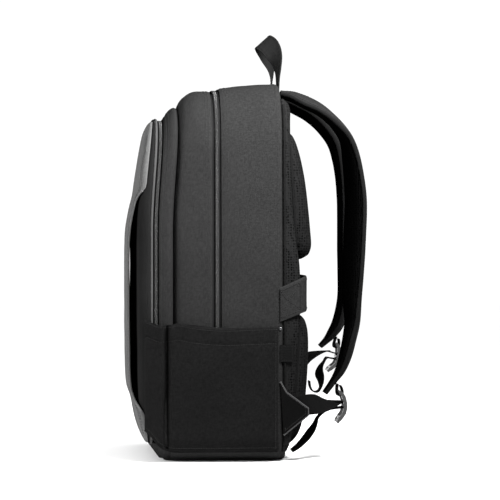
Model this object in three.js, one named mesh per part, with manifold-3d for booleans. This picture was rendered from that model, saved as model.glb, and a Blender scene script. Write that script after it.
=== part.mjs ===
// Laptop backpack standing on its base.
// X runs across the back, -Y is the front pocket, +Y the back pads and straps, +Z up, origin under the base.
import * as THREE from "three";
import Module from "manifold-3d";
import { mergeVertices } from "three/addons/utils/BufferGeometryUtils.js";

const wasm = await Module();
wasm.setup();

// Driving sizes of the body, in millimetres
const bodyHeight = 460;
const bodyWidth = 300;
const topNarrowing = 8;
const sideBow = 2;
const topCrown = 3;
const topCornerRadius = 75;
const bottomCornerRadius = 30;
const mainDepth = 73.5;
const mainZipWidth = 11.5;
const middleDepth = 46;
const gussetDepth = 17;
const frontZipWidth = 10.5;
const frontTopDrop = 44;
const frontSlim = 5;
const frontLean = 7;
const edgeRadius = 8;
const rimCurl = 0.8;

// Walls and clearances
const clothWall = 2.4;
const tapeWall = 1.2;
const clearance = 0.4;
const tapeRecess = 0.8;
const baseWall = 3;
const baseBandHeight = 12;
const baseHeel = 7;

// Front panel and the overlay with its slip pocket
const panelBulge = 13.7;
const panelShoulder = 16;
const panelCrown = 4;
const panelBottom = 20;
const overlayWall = 2.4;
const overlayLay = 1.6;
const slipPocketGap = 7;
const slipPocketCut = 34;

// Zip hardware
const coilWidth = 4.4;
const coilHeight = 3.8;
const coilSeat = 1;
const pipingRadius = 1.5;
const zipEndHeight = 150;
const sliderLength = 12;
const sliderWidth = 8;
const sliderHeight = 3.4;
const sliderHeightAboveEnd = 62;
const pullLength = 26;
const pullWidth = 5;
const pullWall = 1.4;

// Back panel, pads and trolley strap
const backPanelDepth = 22;
const upperPadRise = 24;
const lowerPadRise = 19;
const padWidth = 112;
const padSpread = 68;
const trolleyStrapHeight = 41;
const trolleyStrapWall = 2.4;
const trolleyGap = 5.6;
const trolleyLift = 12;

// Side pockets
const pocketHeight = 163;
const pocketBulge = 8;
const pocketWall = 2;
const pocketFrontReach = 3.4;
const rivetRadius = 1.9;
const rivetWall = 1.4;

// Straps and webbing
const strapReach = 101.5;
const strapWidth = 66;
const strapThickness = 15;
const strapRootX = 52;
const strapFootX = 106;
const strapTwist = { right: 15, left: 3 };
// Share of the half width by which a strap turns about its inner edge
const strapHinge = 0.37;
const webbingWidth = 25;
const webbingWall = 1.6;
const handleRise = 74;
const handleSeat = 16;
const handleFootX = 52;

// Ladder lock
const lockWidth = 34;
const lockRail = 3.6;
const lockBarRadius = 2;
const lockWall = 4.4;

// Tag and wings
const tagWidth = 17;
const tagHeight = 20.5;
const tagWall = 0.8;
const wingWall = 3;
const wingReach = 34;
const wingHeight = 65;

const halfWidth = bodyWidth / 2;
const middleRear = -mainZipWidth;
const middleFront = middleRear - middleDepth;
const foldGap = 2 * clearance;
const gussetRear = middleFront - foldGap;
const gussetFront = gussetRear - gussetDepth;
const panelRim = gussetFront - frontZipWidth;
const mainZipMiddle = middleRear / 2;
const frontZipMiddle = gussetFront - 0.36 * frontZipWidth;
const shellBottom = baseWall + clearance;

const group = new THREE.Group();

const finishes = {
  cloth: { color: 0x3a3a3b, roughness: 0.92, metalness: 0 },
  zip: { color: 0x1d1d1e, roughness: 0.6, metalness: 0 },
  mesh: { color: 0x1a1a1b, roughness: 0.95, metalness: 0 },
  webbing: { color: 0x202021, roughness: 0.8, metalness: 0 },
  plastic: { color: 0x161617, roughness: 0.35, metalness: 0 },
  metal: { color: 0x2a2a2c, roughness: 0.4, metalness: 0.8 },
};

function add(name, geometry, finish) {
  geometry.computeVertexNormals();
  const mesh = new THREE.Mesh(geometry, new THREE.MeshStandardMaterial(finishes[finish]));
  mesh.name = name;
  group.add(mesh);
  return mesh;
}

// Value of one column of a table at a key, along a smooth curve through its rows
function lookup(table, key, column, at) {
  const rows = table[0][key] <= table[table.length - 1][key] ? table : [...table].reverse();
  if (at <= rows[0][key]) return rows[0][column];
  const last = rows.length - 1;
  if (at >= rows[last][key]) return rows[last][column];
  let i = 0;
  while (at > rows[i + 1][key]) i += 1;
  const slope = (a, b) => (rows[b][column] - rows[a][column]) / (rows[b][key] - rows[a][key]);
  const span = rows[i + 1][key] - rows[i][key];
  const t = (at - rows[i][key]) / span;
  const startSlope = slope(Math.max(i - 1, 0), i + 1) * span;
  const endSlope = slope(i, Math.min(i + 2, last)) * span;
  const a = 2 * rows[i][column] - 2 * rows[i + 1][column] + startSlope + endSlope;
  const b = 3 * rows[i + 1][column] - 3 * rows[i][column] - 2 * startSlope - endSlope;
  return ((a * t + b) * t + startSlope) * t + rows[i][column];
}

function smoothStep(low, high, at) {
  const t = Math.min(Math.max((at - low) / (high - low), 0), 1);
  return t * t * (3 - 2 * t);
}

function signedVolume(position, index) {
  let sum = 0;
  const a = new THREE.Vector3();
  const b = new THREE.Vector3();
  const c = new THREE.Vector3();
  for (let i = 0; i < index.length; i += 3) {
    a.fromArray(position, 3 * index[i]);
    b.fromArray(position, 3 * index[i + 1]);
    c.fromArray(position, 3 * index[i + 2]);
    sum += a.dot(b.cross(c));
  }
  return sum / 6;
}

// Closed solid through rings of equal length: capped at both ends, or joined into a loop
function loft(rings, end) {
  const count = rings[0].length;
  const position = rings.flat(2);
  const index = [];
  const spans = end === "loop" ? rings.length : rings.length - 1;
  for (let r = 0; r < spans; r += 1) {
    const here = r * count;
    const next = ((r + 1) % rings.length) * count;
    for (let i = 0; i < count; i += 1) {
      const j = (i + 1) % count;
      index.push(here + i, here + j, next + j, here + i, next + j, next + i);
    }
  }
  const lastStart = (rings.length - 1) * count;
  if (end === "fan") {
    for (const [start, ring, turn] of [[0, rings[0], 1], [lastStart, rings[rings.length - 1], -1]]) {
      const centre = position.length / 3;
      for (let axis = 0; axis < 3; axis += 1) {
        position.push(ring.reduce((sum, point) => sum + point[axis], 0) / count);
      }
      for (let i = 0; i < count; i += 1) {
        const j = (i + 1) % count;
        if (turn > 0) index.push(centre, start + j, start + i);
        else index.push(centre, start + i, start + j);
      }
    }
  }
  if (end === "strip") {
    const pairs = count / 2;
    for (const [start, turn] of [[0, 1], [lastStart, -1]]) {
      for (let i = 0; i < pairs - 1; i += 1) {
        const quad = [i, i + 1, count - 2 - i, count - 1 - i].map((k) => start + k);
        if (turn < 0) index.push(quad[0], quad[1], quad[2], quad[0], quad[2], quad[3]);
        else index.push(quad[2], quad[1], quad[0], quad[3], quad[2], quad[0]);
      }
    }
  }
  if (signedVolume(position, index) < 0) {
    for (let i = 0; i < index.length; i += 3) [index[i], index[i + 1]] = [index[i + 1], index[i]];
  }
  const geometry = new THREE.BufferGeometry();
  geometry.setAttribute("position", new THREE.Float32BufferAttribute(position, 3));
  geometry.setIndex(index);
  return geometry;
}

// Factor on half widths: bowed out at mid height, drawn in towards the top
function flare(z, bottom, top) {
  const bow = sideBow * Math.sin(Math.PI * Math.min(Math.max((z - bottom) / (top - bottom), 0), 1));
  const narrowing = topNarrowing * smoothStep(0.35 * bodyHeight, 0.85 * bodyHeight, z);
  return 1 + (bow - narrowing) / halfWidth;
}

// Half width of a rounded outline at a height
function edgeAt(z, half, bottom, top) {
  const above = Math.max(z - (top - topCornerRadius), 0);
  const below = Math.max(bottom + bottomCornerRadius - z, 0);
  const high = topCornerRadius - Math.sqrt(Math.max(topCornerRadius ** 2 - above ** 2, 0));
  const low = bottomCornerRadius - Math.sqrt(Math.max(bottomCornerRadius ** 2 - below ** 2, 0));
  return (half - high - low) * flare(z, bottom, top);
}

// Points on each stretch of the body's outline, seen from the front
const outlineCounts = { bottom: 4, bottomCorner: 4, side: 5, topCorner: 6, top: 6 };

function outline(box, counts) {
  const { half, bottom, top } = box;
  const low = Math.min(box.bottomRadius, half);
  const high = Math.min(box.topRadius, half);
  const points = [];
  const push = (x, z) => {
    const flat = Math.max(half - high, 1);
    const raised = Math.abs(x) < flat && z > (top + bottom) / 2;
    points.push([x * flare(z, bottom, top), z + (raised ? topCrown * (1 - (x / flat) ** 2) : 0)]);
  };
  const arc = (cx, cz, radius, from, count) => {
    for (let i = 0; i < count; i += 1) {
      const angle = from + (Math.PI / 2) * (i / count);
      push(cx + radius * Math.cos(angle), cz + radius * Math.sin(angle));
    }
  };
  const line = (x0, z0, x1, z1, count) => {
    for (let i = 0; i < count; i += 1) push(x0 + (x1 - x0) * (i / count), z0 + (z1 - z0) * (i / count));
  };
  line(low - half, bottom, half - low, bottom, counts.bottom);
  arc(half - low, bottom + low, low, -Math.PI / 2, counts.bottomCorner);
  line(half, bottom + low, half, top - high, counts.side);
  arc(half - high, top - high, high, 0, counts.topCorner);
  line(half - high, top, high - half, top, counts.top);
  arc(high - half, top - high, high, Math.PI / 2, counts.topCorner);
  line(-half, top - high, -half, bottom + low, counts.side);
  arc(low - half, bottom + low, low, Math.PI, counts.bottomCorner);
  return points;
}

// Along the body's depth: drop of its top, lift of its foot and slimming, as shares of those at the front
const depthTable = [
  { y: panelRim, drop: 1, foot: 1, slim: 1 },
  { y: gussetFront, drop: 1, foot: 0.36, slim: 0.8 },
  { y: gussetFront + 0.5 * gussetDepth, drop: 0.75, foot: 0, slim: 0.6 },
  { y: gussetRear, drop: 0.59, foot: 0, slim: 0.5 },
  { y: middleFront, drop: 0.52, foot: 0, slim: 0.5 },
  { y: middleFront + 0.25 * middleDepth, drop: 0.34, foot: 0, slim: 0.24 },
  { y: middleFront + 0.55 * middleDepth, drop: 0.227, foot: 0, slim: 0.08 },
  { y: middleRear, drop: 0.205, foot: 0, slim: 0 },
  { y: 0, drop: 0.136, foot: 0, slim: 0 },
  { y: 0.5 * mainDepth, drop: 0.045, foot: 0, slim: 0 },
  { y: mainDepth, drop: 0, foot: 0, slim: 0 },
];

const leanStart = 0.6 * bodyHeight;
const footLift = panelBottom - shellBottom;

// One ring of the body: its outline at a depth, drawn in by an inset
function bodyRing({ y, inset, lean = 0, at = y, counts = outlineCounts }) {
  const ring = outline({
    half: halfWidth - frontSlim * lookup(depthTable, "y", "slim", at) - inset,
    bottom: shellBottom + footLift * lookup(depthTable, "y", "foot", at) + inset,
    top: bodyHeight - frontTopDrop * lookup(depthTable, "y", "drop", at) - inset,
    topRadius: Math.max(topCornerRadius - inset, 1),
    bottomRadius: Math.max(bottomCornerRadius - inset, 1),
  }, counts);
  return ring.map(([x, z]) => [x, y + lean * smoothStep(leanStart, bodyHeight - frontTopDrop, z), z]);
}

// Rear shell: side band and back wall, open to the front
const rearRows = [
  { depth: 0.012, inset: 0.1 },
  { depth: 0.06, inset: 0 },
  { depth: 0.45, inset: 0 },
  { depth: 0.86, inset: 0 },
  { depth: 0.965, inset: 0.06 },
  { depth: 1, inset: 0.45 },
];

function rearShell() {
  const outer = rearRows.map((row) => bodyRing({
    y: row.depth * mainDepth,
    inset: row.inset * edgeRadius,
  }));
  const inner = rearRows.map((row) => bodyRing({
    y: Math.min(row.depth * mainDepth, mainDepth - clothWall),
    inset: row.inset * edgeRadius + clothWall,
    at: row.depth * mainDepth,
  }));
  inner.splice(4, 1);
  return loft([...inner.reverse(), ...outer], "fan");
}

// Middle shell: side band and the wall behind the front pocket, open to the back
const middleRows = [
  { depth: 0.01, inset: 0.1, lean: 0 },
  { depth: 0.07, inset: 0, lean: 0 },
  { depth: 0.4, inset: 0, lean: 0.3 },
  { depth: 0.75, inset: 0.05, lean: 0.8 },
  { depth: 0.91, inset: 0.3, lean: 1 },
  { depth: 1, inset: 1.1, lean: 1 },
];

function middleShell() {
  const outer = middleRows.map((row) => bodyRing({
    y: middleRear - row.depth * middleDepth,
    inset: row.inset * edgeRadius,
    lean: row.lean * frontLean,
  }));
  const inner = middleRows.map((row) => bodyRing({
    y: Math.max(middleRear - row.depth * middleDepth, middleFront + clothWall),
    inset: row.inset * edgeRadius + clothWall,
    lean: row.lean * frontLean,
    at: middleRear - row.depth * middleDepth,
  }));
  inner.splice(4, 1);
  return loft([...inner.reverse(), ...outer], "fan");
}

// Band closed round the body, from rows of depth and inset
function bodyBand(rows, wall) {
  const outer = rows.map((row) => bodyRing(row));
  const inner = rows.map((row) => bodyRing({ ...row, inset: row.inset + wall }));
  return loft([...outer, ...inner.reverse()], "loop");
}

const gussetRows = [
  { depth: 0, inset: 0.85 },
  { depth: 0.12, inset: 0.25 },
  { depth: 0.35, inset: 0 },
  { depth: 0.9, inset: 0 },
  { depth: 1, inset: 0.1 },
];

function frontGusset() {
  return bodyBand(gussetRows.map((row) => ({
    y: gussetRear - row.depth * gussetDepth,
    inset: row.inset * edgeRadius,
    lean: frontLean,
  })), clothWall);
}

const tapeInset = clothWall + rimCurl + tapeRecess;
const tapeOverlap = 4;
const rimOverlap = 1.4;

function mainZipTape() {
  return bodyBand([
    { y: tapeOverlap, inset: tapeInset },
    { y: middleRear - tapeOverlap, inset: tapeInset },
  ], tapeWall);
}

function frontZipTape() {
  return bodyBand([
    { y: gussetFront + rimOverlap, inset: tapeInset, lean: frontLean, at: gussetFront },
    { y: panelRim + clearance + 2 * pipingRadius, inset: tapeInset, lean: frontLean, at: panelRim },
    { y: panelRim + clearance, inset: 2 * pipingRadius, lean: frontLean, at: panelRim },
  ], tapeWall);
}

// Coil: a low ridge that follows the tape over the top and down both sides
function zipCoil(middle, lean) {
  const ring = (offset, inset) => bodyRing({ y: middle + offset, inset, lean });
  const base = tapeInset - coilSeat;
  const edges = [
    ring(coilWidth / 2, base),
    ring(coilWidth / 2, base - 0.6 * coilHeight),
    ring(0, base - coilHeight),
    ring(-coilWidth / 2, base - 0.6 * coilHeight),
    ring(-coilWidth / 2, base),
    ring(0, base),
  ];
  const start = outlineCounts.bottom + outlineCounts.bottomCorner;
  const along = edges[0].map((point, i) => i).slice(start).filter((i) => edges[0][i][2] > zipEndHeight);
  return loft(along.map((i) => edges.map((edge) => edge[i])), "fan");
}

// Piping round the front panel's edge
const pipingSides = 4;

function piping() {
  const rings = [];
  for (let k = 0; k < pipingSides; k += 1) {
    const angle = (2 * Math.PI * k) / pipingSides;
    rings.push(bodyRing({
      y: panelRim + clearance + pipingRadius * (1 + Math.cos(angle)),
      inset: pipingRadius * (1 + Math.sin(angle)) - 0.6 * pipingRadius,
      lean: frontLean,
      at: panelRim,
    }));
  }
  return loft(rings, "loop");
}

// Share of the panel's bulge at a distance in from its edge
function shoulderShare(distance) {
  const t = Math.min(Math.max(distance / panelShoulder, 0), 1);
  return Math.sqrt(1 - (1 - t) ** 2);
}

// Bulge of the panel under the overlay, by height
const panelProfile = [
  { height: panelBottom / bodyHeight, bulge: 0.03 },
  { height: 0.065, bulge: 0.22 },
  { height: 0.1, bulge: 0.58 },
  { height: 0.135, bulge: 0.82 },
  { height: 0.2, bulge: 0.93 },
  { height: 0.3, bulge: 0.97 },
  { height: 0.45, bulge: 1 },
  { height: 0.58, bulge: 1 },
  { height: 0.66, bulge: 0.97 },
  { height: 0.74, bulge: 0.86 },
  { height: 0.8, bulge: 0.7 },
  { height: 0.86, bulge: 0.42 },
  { height: 0.9, bulge: 0.1 },
];

function rimY(z) {
  return panelRim + frontLean * smoothStep(leanStart, bodyHeight - frontTopDrop, z);
}

function panelY(share, x, z) {
  const bulge = panelBulge * lookup(panelProfile, "height", "bulge", z / bodyHeight);
  return rimY(z) - share * (bulge + panelCrown * (1 - (x / halfWidth) ** 2));
}

const panelInsets = [0, 0.08, 0.3, 0.65, 1, 3, 6.5];
const panelCounts = { ...outlineCounts, side: 8 };

function frontPanel() {
  const surface = (wall) => panelInsets.map((step) => {
    const inset = step * panelShoulder;
    const share = shoulderShare(inset);
    return bodyRing({ y: 0, inset: inset + wall, at: panelRim, counts: panelCounts }).map(([x, , z]) => {
      return [x, panelY(share, x, z) + wall * share, z];
    });
  });
  return loft([...surface(clothWall).reverse(), ...surface(0)], "fan");
}

// Overlay: how far its side edge is cut in from the panel's edge, by height
const overlayRows = [
  { height: 0.052, cut: 0, open: 0 },
  { height: 0.075, cut: 0, open: 0 },
  { height: 0.1, cut: 0, open: 0 },
  { height: 0.13, cut: 0.03, open: 0 },
  { height: 0.15, cut: 0.22, open: 0.12 },
  { height: 0.165, cut: 0.5, open: 0.35 },
  { height: 0.19, cut: 0.72, open: 0.8 },
  { height: 0.25, cut: 0.84, open: 1 },
  { height: 0.34, cut: 0.93, open: 1 },
  { height: 0.45, cut: 1, open: 1 },
  { height: 0.54, cut: 0.96, open: 1 },
  { height: 0.6, cut: 0.78, open: 0.9 },
  { height: 0.645, cut: 0.6, open: 0.6 },
  { height: 0.68, cut: 0.38, open: 0.3 },
  { height: 0.7, cut: 0.18, open: 0.1 },
  { height: 0.715, cut: 0.02, open: 0 },
  { height: 0.76, cut: 0, open: 0 },
  { height: 0.81, cut: 0, open: 0 },
  { height: 0.85, cut: 0, open: 0 },
  { height: 0.88, cut: 0, open: 0 },
  { height: 0.896, cut: 0, open: 0 },
];

const overlayInsets = [0.08, 0.3, 0.65, 1, 2.4, 4.8];
const panelTop = bodyHeight - frontTopDrop;
const panelHalf = halfWidth - frontSlim;

// Distance in from the panel's outline
function panelDistance(x, z) {
  const upper = z > bodyHeight / 2;
  const radius = upper ? topCornerRadius : bottomCornerRadius;
  const along = upper ? z - (panelTop - radius) : panelBottom + radius - z;
  const across = Math.abs(x) / flare(z, panelBottom, panelTop) - (panelHalf - radius);
  const outside = Math.hypot(Math.max(across, 0), Math.max(along, 0));
  return radius - outside - Math.min(Math.max(across, along), 0);
}

function frontOverlay() {
  const rings = overlayRows.map((row) => {
    const z = row.height * bodyHeight;
    const edge = edgeAt(z, panelHalf, panelBottom, panelTop);
    const half = edge - row.cut * slipPocketCut;
    const gap = overlayLay + slipPocketGap * row.open;
    const right = overlayInsets.map((step) => half * (1 - (step * panelShoulder) / edge));
    const across = [...right.map((x) => -x), 0, ...right.reverse()];
    const side = (lift) => across.map((x) => {
      const share = shoulderShare(panelDistance(x, z));
      return [x, panelY(share, x, z) - gap - lift, z];
    });
    return [...side(overlayWall), ...side(0).reverse()];
  });
  return loft(rings, "strip");
}

// Base tray: a floor plate with a low wall round the rear shell's foot
const baseFront = gussetFront + 5;
const baseRear = mainDepth + baseHeel;
const baseRows = [
  { rise: 0, draw: 6, front: 3 },
  { rise: 0.09, draw: 3.6, front: 2 },
  { rise: 0.3, draw: 1.4, front: 1 },
];

function planRing(z, halfX, front, rear, radius, count) {
  const points = [];
  const corners = [
    [halfX - radius, rear - radius, 0],
    [radius - halfX, rear - radius, 1],
    [radius - halfX, front + radius, 2],
    [halfX - radius, front + radius, 3],
  ];
  for (const [cx, cy, quarter] of corners) {
    for (let i = 0; i <= count; i += 1) {
      const angle = (Math.PI / 2) * (quarter + i / count);
      points.push([cx + radius * Math.cos(angle), cy + radius * Math.sin(angle), z]);
    }
  }
  return points;
}

const baseCornerRadius = 22;
const baseCornerSteps = 5;

function basePanel() {
  const half = halfWidth - bottomCornerRadius + 4;
  const rings = baseRows.map((row) => planRing(
    row.rise * baseBandHeight,
    half - row.draw,
    baseFront + row.front,
    baseRear - row.draw,
    baseCornerRadius,
    baseCornerSteps,
  ));
  rings.push(planRing(baseWall, half, baseFront + 1, baseRear - 1, baseCornerRadius, baseCornerSteps));
  return loft(rings, "fan");
}

// Back panel: padded board behind the rear shell, deepest at the waist
const backProfile = [
  { height: 0.028, depth: 0.25 },
  { height: 0.05, depth: 0.42 },
  { height: 0.1, depth: 0.58 },
  { height: 0.18, depth: 0.66 },
  { height: 0.28, depth: 0.8 },
  { height: 0.36, depth: 0.93 },
  { height: 0.44, depth: 1 },
  { height: 0.52, depth: 0.93 },
  { height: 0.6, depth: 0.7 },
  { height: 0.7, depth: 0.55 },
  { height: 0.8, depth: 0.46 },
  { height: 0.88, depth: 0.46 },
  { height: 0.925, depth: 0.5 },
  { height: 0.945, depth: 0.36 },
  { height: 0.955, depth: 0.14 },
];

const backEdge = 9;
const backDraw = 2;
const backFront = mainDepth + clearance;

function backY(z) {
  return backFront + backPanelDepth * lookup(backProfile, "height", "depth", z / bodyHeight);
}

function rearEdge(z) {
  return edgeAt(z, halfWidth, shellBottom, bodyHeight);
}

const backColumns = [-1, -0.985, -0.94, -0.8, 0, 0.8, 0.94, 0.985, 1];

function backPanel() {
  const rings = backProfile.map((row) => {
    const z = row.height * bodyHeight;
    const half = rearEdge(z) - backDraw;
    const depth = backY(z) - backFront;
    const rear = backColumns.map((u) => {
      const d = Math.min((half * (1 - Math.abs(u))) / backEdge, 1);
      const round = Math.sqrt(1 - (1 - d) ** 2);
      return [half * u, backFront + depth * (0.35 + 0.65 * round), z];
    });
    const front = backColumns.map((u) => [half * u, backFront, z]).reverse();
    return [...rear, ...front];
  });
  return loft(rings, "strip");
}

// Back pads: crowned, with their sides drawn in at both ends
const upperPadRows = [
  { height: 0.53, rise: 0.3, width: 0.5 },
  { height: 0.54, rise: 0.72, width: 0.7 },
  { height: 0.565, rise: 0.98, width: 0.87 },
  { height: 0.61, rise: 1, width: 0.97 },
  { height: 0.67, rise: 0.98, width: 1 },
  { height: 0.74, rise: 0.9, width: 0.98 },
  { height: 0.8, rise: 0.72, width: 0.9 },
  { height: 0.845, rise: 0.48, width: 0.74 },
  { height: 0.87, rise: 0.24, width: 0.5 },
];
const lowerPadRows = [
  { height: 0.036, rise: 0.2, width: 0.62 },
  { height: 0.055, rise: 0.62, width: 0.8 },
  { height: 0.09, rise: 0.86, width: 0.92 },
  { height: 0.16, rise: 1, width: 1 },
  { height: 0.24, rise: 1.02, width: 1 },
  { height: 0.31, rise: 0.95, width: 0.98 },
  { height: 0.355, rise: 0.78, width: 0.9 },
  { height: 0.378, rise: 0.5, width: 0.76 },
  { height: 0.387, rise: 0.22, width: 0.6 },
];
const padSection = [-1, -0.95, -0.65, 0, 0.65, 0.95, 1];

function backPad(rows, side, thickness) {
  const rings = rows.map((row) => {
    const z = row.height * bodyHeight;
    const base = backY(z) + clearance;
    const half = (row.width * padWidth) / 2;
    const outer = padSection.map((u) => {
      const round = Math.abs(u) === 1 ? 0.12 : (1 - Math.abs(u) ** 3.2) ** 0.5;
      return [side * padSpread + half * u, base + thickness * row.rise * round, z];
    });
    const inner = padSection.map((u) => [side * padSpread + half * u, base, z]).reverse();
    return [...outer, ...inner];
  });
  return loft(rings, "strip");
}

// Trolley strap: a flat band from one rear seam across the waist to the other
const trolleyMiddle = 0.4163 * bodyHeight;
const trolleyRows = [
  { out: -0.14, x: 1.0035 },
  { out: 0.12, x: 1.0035 },
  { out: 0.58, x: 0.998 },
  { out: 0.86, x: 0.975 },
  { out: 0.97, x: 0.935 },
  { out: 1, x: 0.86 },
];

const trolleyReach = backY(trolleyMiddle + trolleyLift) + trolleyGap - backFront;
const trolleyStart = backFront + trolleyRows[0].out * trolleyReach;

function trolleyStrap() {
  const edge = rearEdge(trolleyMiddle);
  const reach = trolleyReach;
  const rightRows = trolleyRows.map((row) => [row.x * edge, backFront + row.out * reach, row.out]);
  const leftRows = rightRows.map(([x, y, out]) => [-x, y, out]).reverse();
  const path = [...rightRows, ...leftRows];
  const rings = path.map(([x, y, out], i) => {
    const [px, py] = path[Math.max(i - 1, 0)];
    const [nx, ny] = path[Math.min(i + 1, path.length - 1)];
    const length = Math.hypot(nx - px, ny - py);
    const normal = [(ny - py) / length, -(nx - px) / length];
    const middle = trolleyMiddle + trolleyLift * out;
    const at = (wall, up) => [x + normal[0] * wall, y + normal[1] * wall, middle + up];
    const half = (trolleyStrapHeight / 2) * (1 + 0.04 * out);
    return [at(0, -half), at(trolleyStrapWall, -half), at(trolleyStrapWall, half), at(0, half)];
  });
  return loft(rings, "fan");
}

// Side pocket: a loose sheet over the side, open at the top
const pocketColumns = [
  { out: -0.02, x: -0.62, top: 1.055, bottom: 0.245 },
  { out: 0.03, x: -0.3, top: 1.035, bottom: 0.2 },
  { out: 0.09, x: 0.15, top: 1.015, bottom: 0.125 },
  { out: 0.17, x: 0.62, top: 1.02, bottom: 0.088 },
  { out: 0.22, x: 0.75, top: 1.03, bottom: 0.083 },
  { out: 0.32, x: 0.95, top: 1.012, bottom: 0.083 },
  { out: 0.45, x: 1, top: 0.997, bottom: 0.083 },
  { out: 0.58, x: 1, top: 0.99, bottom: 0.083 },
  { out: 0.72, x: 0.86, top: 0.995, bottom: 0.083 },
  { out: 0.86, x: 0.55, top: 1, bottom: 0.083 },
  { out: 0.965, x: 0.03, top: 1.002, bottom: 0.083 },
];
const pocketLevels = [0, 0.06, 0.16, 0.35, 0.6, 0.85, 1];

function sidePocket(side) {
  const front = panelRim - pocketFrontReach;
  const depth = mainDepth - front;
  const rings = pocketLevels.map((level) => {
    const sheet = (wall) => pocketColumns.map((column) => {
      const z = pocketHeight * (column.bottom + (column.top - column.bottom) * level);
      const fullness = 0.3 + 0.7 * smoothStep(0, 0.5, level);
      const bulge = column.x > 0 ? column.x * pocketBulge * fullness : column.x * pocketBulge;
      const edge = rearEdge(z) + clearance + wall + bulge;
      return [side * edge, front + column.out * depth, z];
    });
    return [...sheet(pocketWall), ...sheet(0).reverse()];
  });
  return loft(rings, "strip");
}

// Flat strip swept along rows of place, width, thickness and turn
function strip(rows, { samples, width, wall, roundEnds = false }) {
  const curve = new THREE.CatmullRomCurve3(rows.map((row) => new THREE.Vector3(row.x, row.y, row.z)), false, "centripetal");
  const rings = [];
  for (let i = 0; i <= samples; i += 1) {
    const t = i / samples;
    const key = t * (rows.length - 1);
    const point = curve.getPoint(t);
    const tangent = curve.getTangent(t);
    const keyed = rows.map((row, k) => ({ ...row, k }));
    const turn = THREE.MathUtils.degToRad(lookup(keyed, "k", "turn", key));
    const across = new THREE.Vector3(1, 0, 0).addScaledVector(tangent, -tangent.x).normalize();
    across.applyAxisAngle(tangent, turn);
    const out = new THREE.Vector3().crossVectors(tangent, across).normalize();
    const half = (width * lookup(keyed, "k", "width", key)) / 2;
    const thick = (wall * lookup(keyed, "k", "thick", key)) / 2;
    const corner = roundEnds ? 0.55 * thick : 0;
    const shape = roundEnds
      ? [[-half, -thick + corner], [-half + corner, -thick], [half - corner, -thick], [half, -thick + corner],
        [half, thick - corner], [half - corner, thick], [corner - half, thick], [-half, thick - corner]]
      : [[-half, -thick], [half, -thick], [half, thick], [-half, thick]];
    rings.push(shape.map(([a, b]) => {
      return point.clone().addScaledVector(across, a).addScaledVector(out, b).toArray();
    }));
  }
  return loft(rings, "fan");
}

// Shoulder strap: out, up, across and turn as shares of the reach, the body height, the spread and the twist
const strapTop = [
  { out: 0.0415, up: 0.9745, across: 0, width: 0.8, thick: 0.7, turn: 0 },
  { out: 0.18, up: 0.969, across: 0.012, width: 0.86, thick: 0.9, turn: 0.35 },
  { out: 0.34, up: 0.953, across: 0.1, width: 0.95, thick: 1, turn: 0.65 },
  { out: 0.52, up: 0.931, across: 0.18, width: 1, thick: 1, turn: 0.55 },
  { out: 0.695, up: 0.897, across: 0.26, width: 1, thick: 1, turn: 0.3 },
  { out: 0.825, up: 0.858, across: 0.33, width: 1, thick: 1, turn: 0 },
  { out: 0.9, up: 0.81, across: 0.41, width: 1, thick: 1, turn: -0.5 },
  { out: 0.946, up: 0.75, across: 0.49, width: 1, thick: 1, turn: -0.8 },
  { out: 0.97, up: 0.685, across: 0.57, width: 1, thick: 1, turn: -0.95 },
];
const strapFoot = {
  right: [
    { out: 0.954, up: 0.593, across: 0.68, width: 0.98, thick: 1, turn: -1 },
    { out: 0.929, up: 0.5, across: 0.78, width: 0.95, thick: 1, turn: -0.95 },
    { out: 0.904, up: 0.422, across: 0.86, width: 0.92, thick: 1, turn: -0.75 },
    { out: 0.89, up: 0.365, across: 0.91, width: 0.9, thick: 1, turn: -0.35 },
    { out: 0.847, up: 0.322, across: 0.95, width: 0.88, thick: 1, turn: -0.1 },
    { out: 0.785, up: 0.27, across: 0.98, width: 0.8, thick: 0.94, turn: 0 },
    { out: 0.727, up: 0.237, across: 1, width: 0.68, thick: 0.76, turn: 0 },
    { out: 0.65, up: 0.21, across: 1, width: 0.54, thick: 0.5, turn: 0 },
    { out: 0.54, up: 0.176, across: 1, width: 0.42, thick: 0.4, turn: 0 },
  ],
  left: [
    { out: 0.977, up: 0.593, across: 0.68, width: 0.98, thick: 1, turn: -1 },
    { out: 0.988, up: 0.5, across: 0.78, width: 0.95, thick: 1, turn: -0.95 },
    { out: 0.99, up: 0.43, across: 0.83, width: 0.92, thick: 1, turn: -0.75 },
    { out: 0.965, up: 0.385, across: 0.88, width: 0.9, thick: 1, turn: -0.35 },
    { out: 0.915, up: 0.345, across: 0.92, width: 0.86, thick: 1, turn: -0.1 },
    { out: 0.84, up: 0.318, across: 0.95, width: 0.76, thick: 0.8, turn: 0 },
    { out: 0.768, up: 0.298, across: 0.97, width: 0.58, thick: 0.55, turn: 0 },
    { out: 0.69, up: 0.2815, across: 0.97, width: 0.42, thick: 0.4, turn: 0 },
  ],
};

function strapPlace(row, name) {
  const { side } = locks[name];
  const lean = Math.sin(THREE.MathUtils.degToRad(row.turn * strapTwist[name]));
  return {
    ...row,
    x: side * (strapRootX + (strapFootX - strapRootX) * row.across),
    y: mainDepth + strapReach * row.out + strapHinge * (strapWidth / 2) * lean,
    z: bodyHeight * row.up,
    turn: side * row.turn * strapTwist[name],
  };
}

function shoulderStrap(name) {
  const rows = [...strapTop, ...strapFoot[name]].map((row) => strapPlace(row, name));
  return strip(rows, { samples: 24, width: strapWidth, wall: strapThickness, roundEnds: true });
}

// Ladder lock: two bowed rails joined by a top bar, a ladder bar and a thumb tab
const lockProfile = [
  { y: -5, z: 19 },
  { y: 0.4, z: 13 },
  { y: 3, z: 3 },
  { y: 2.2, z: -7 },
  { y: -2.4, z: -14 },
  { y: -6.4, z: -19 },
];

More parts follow.
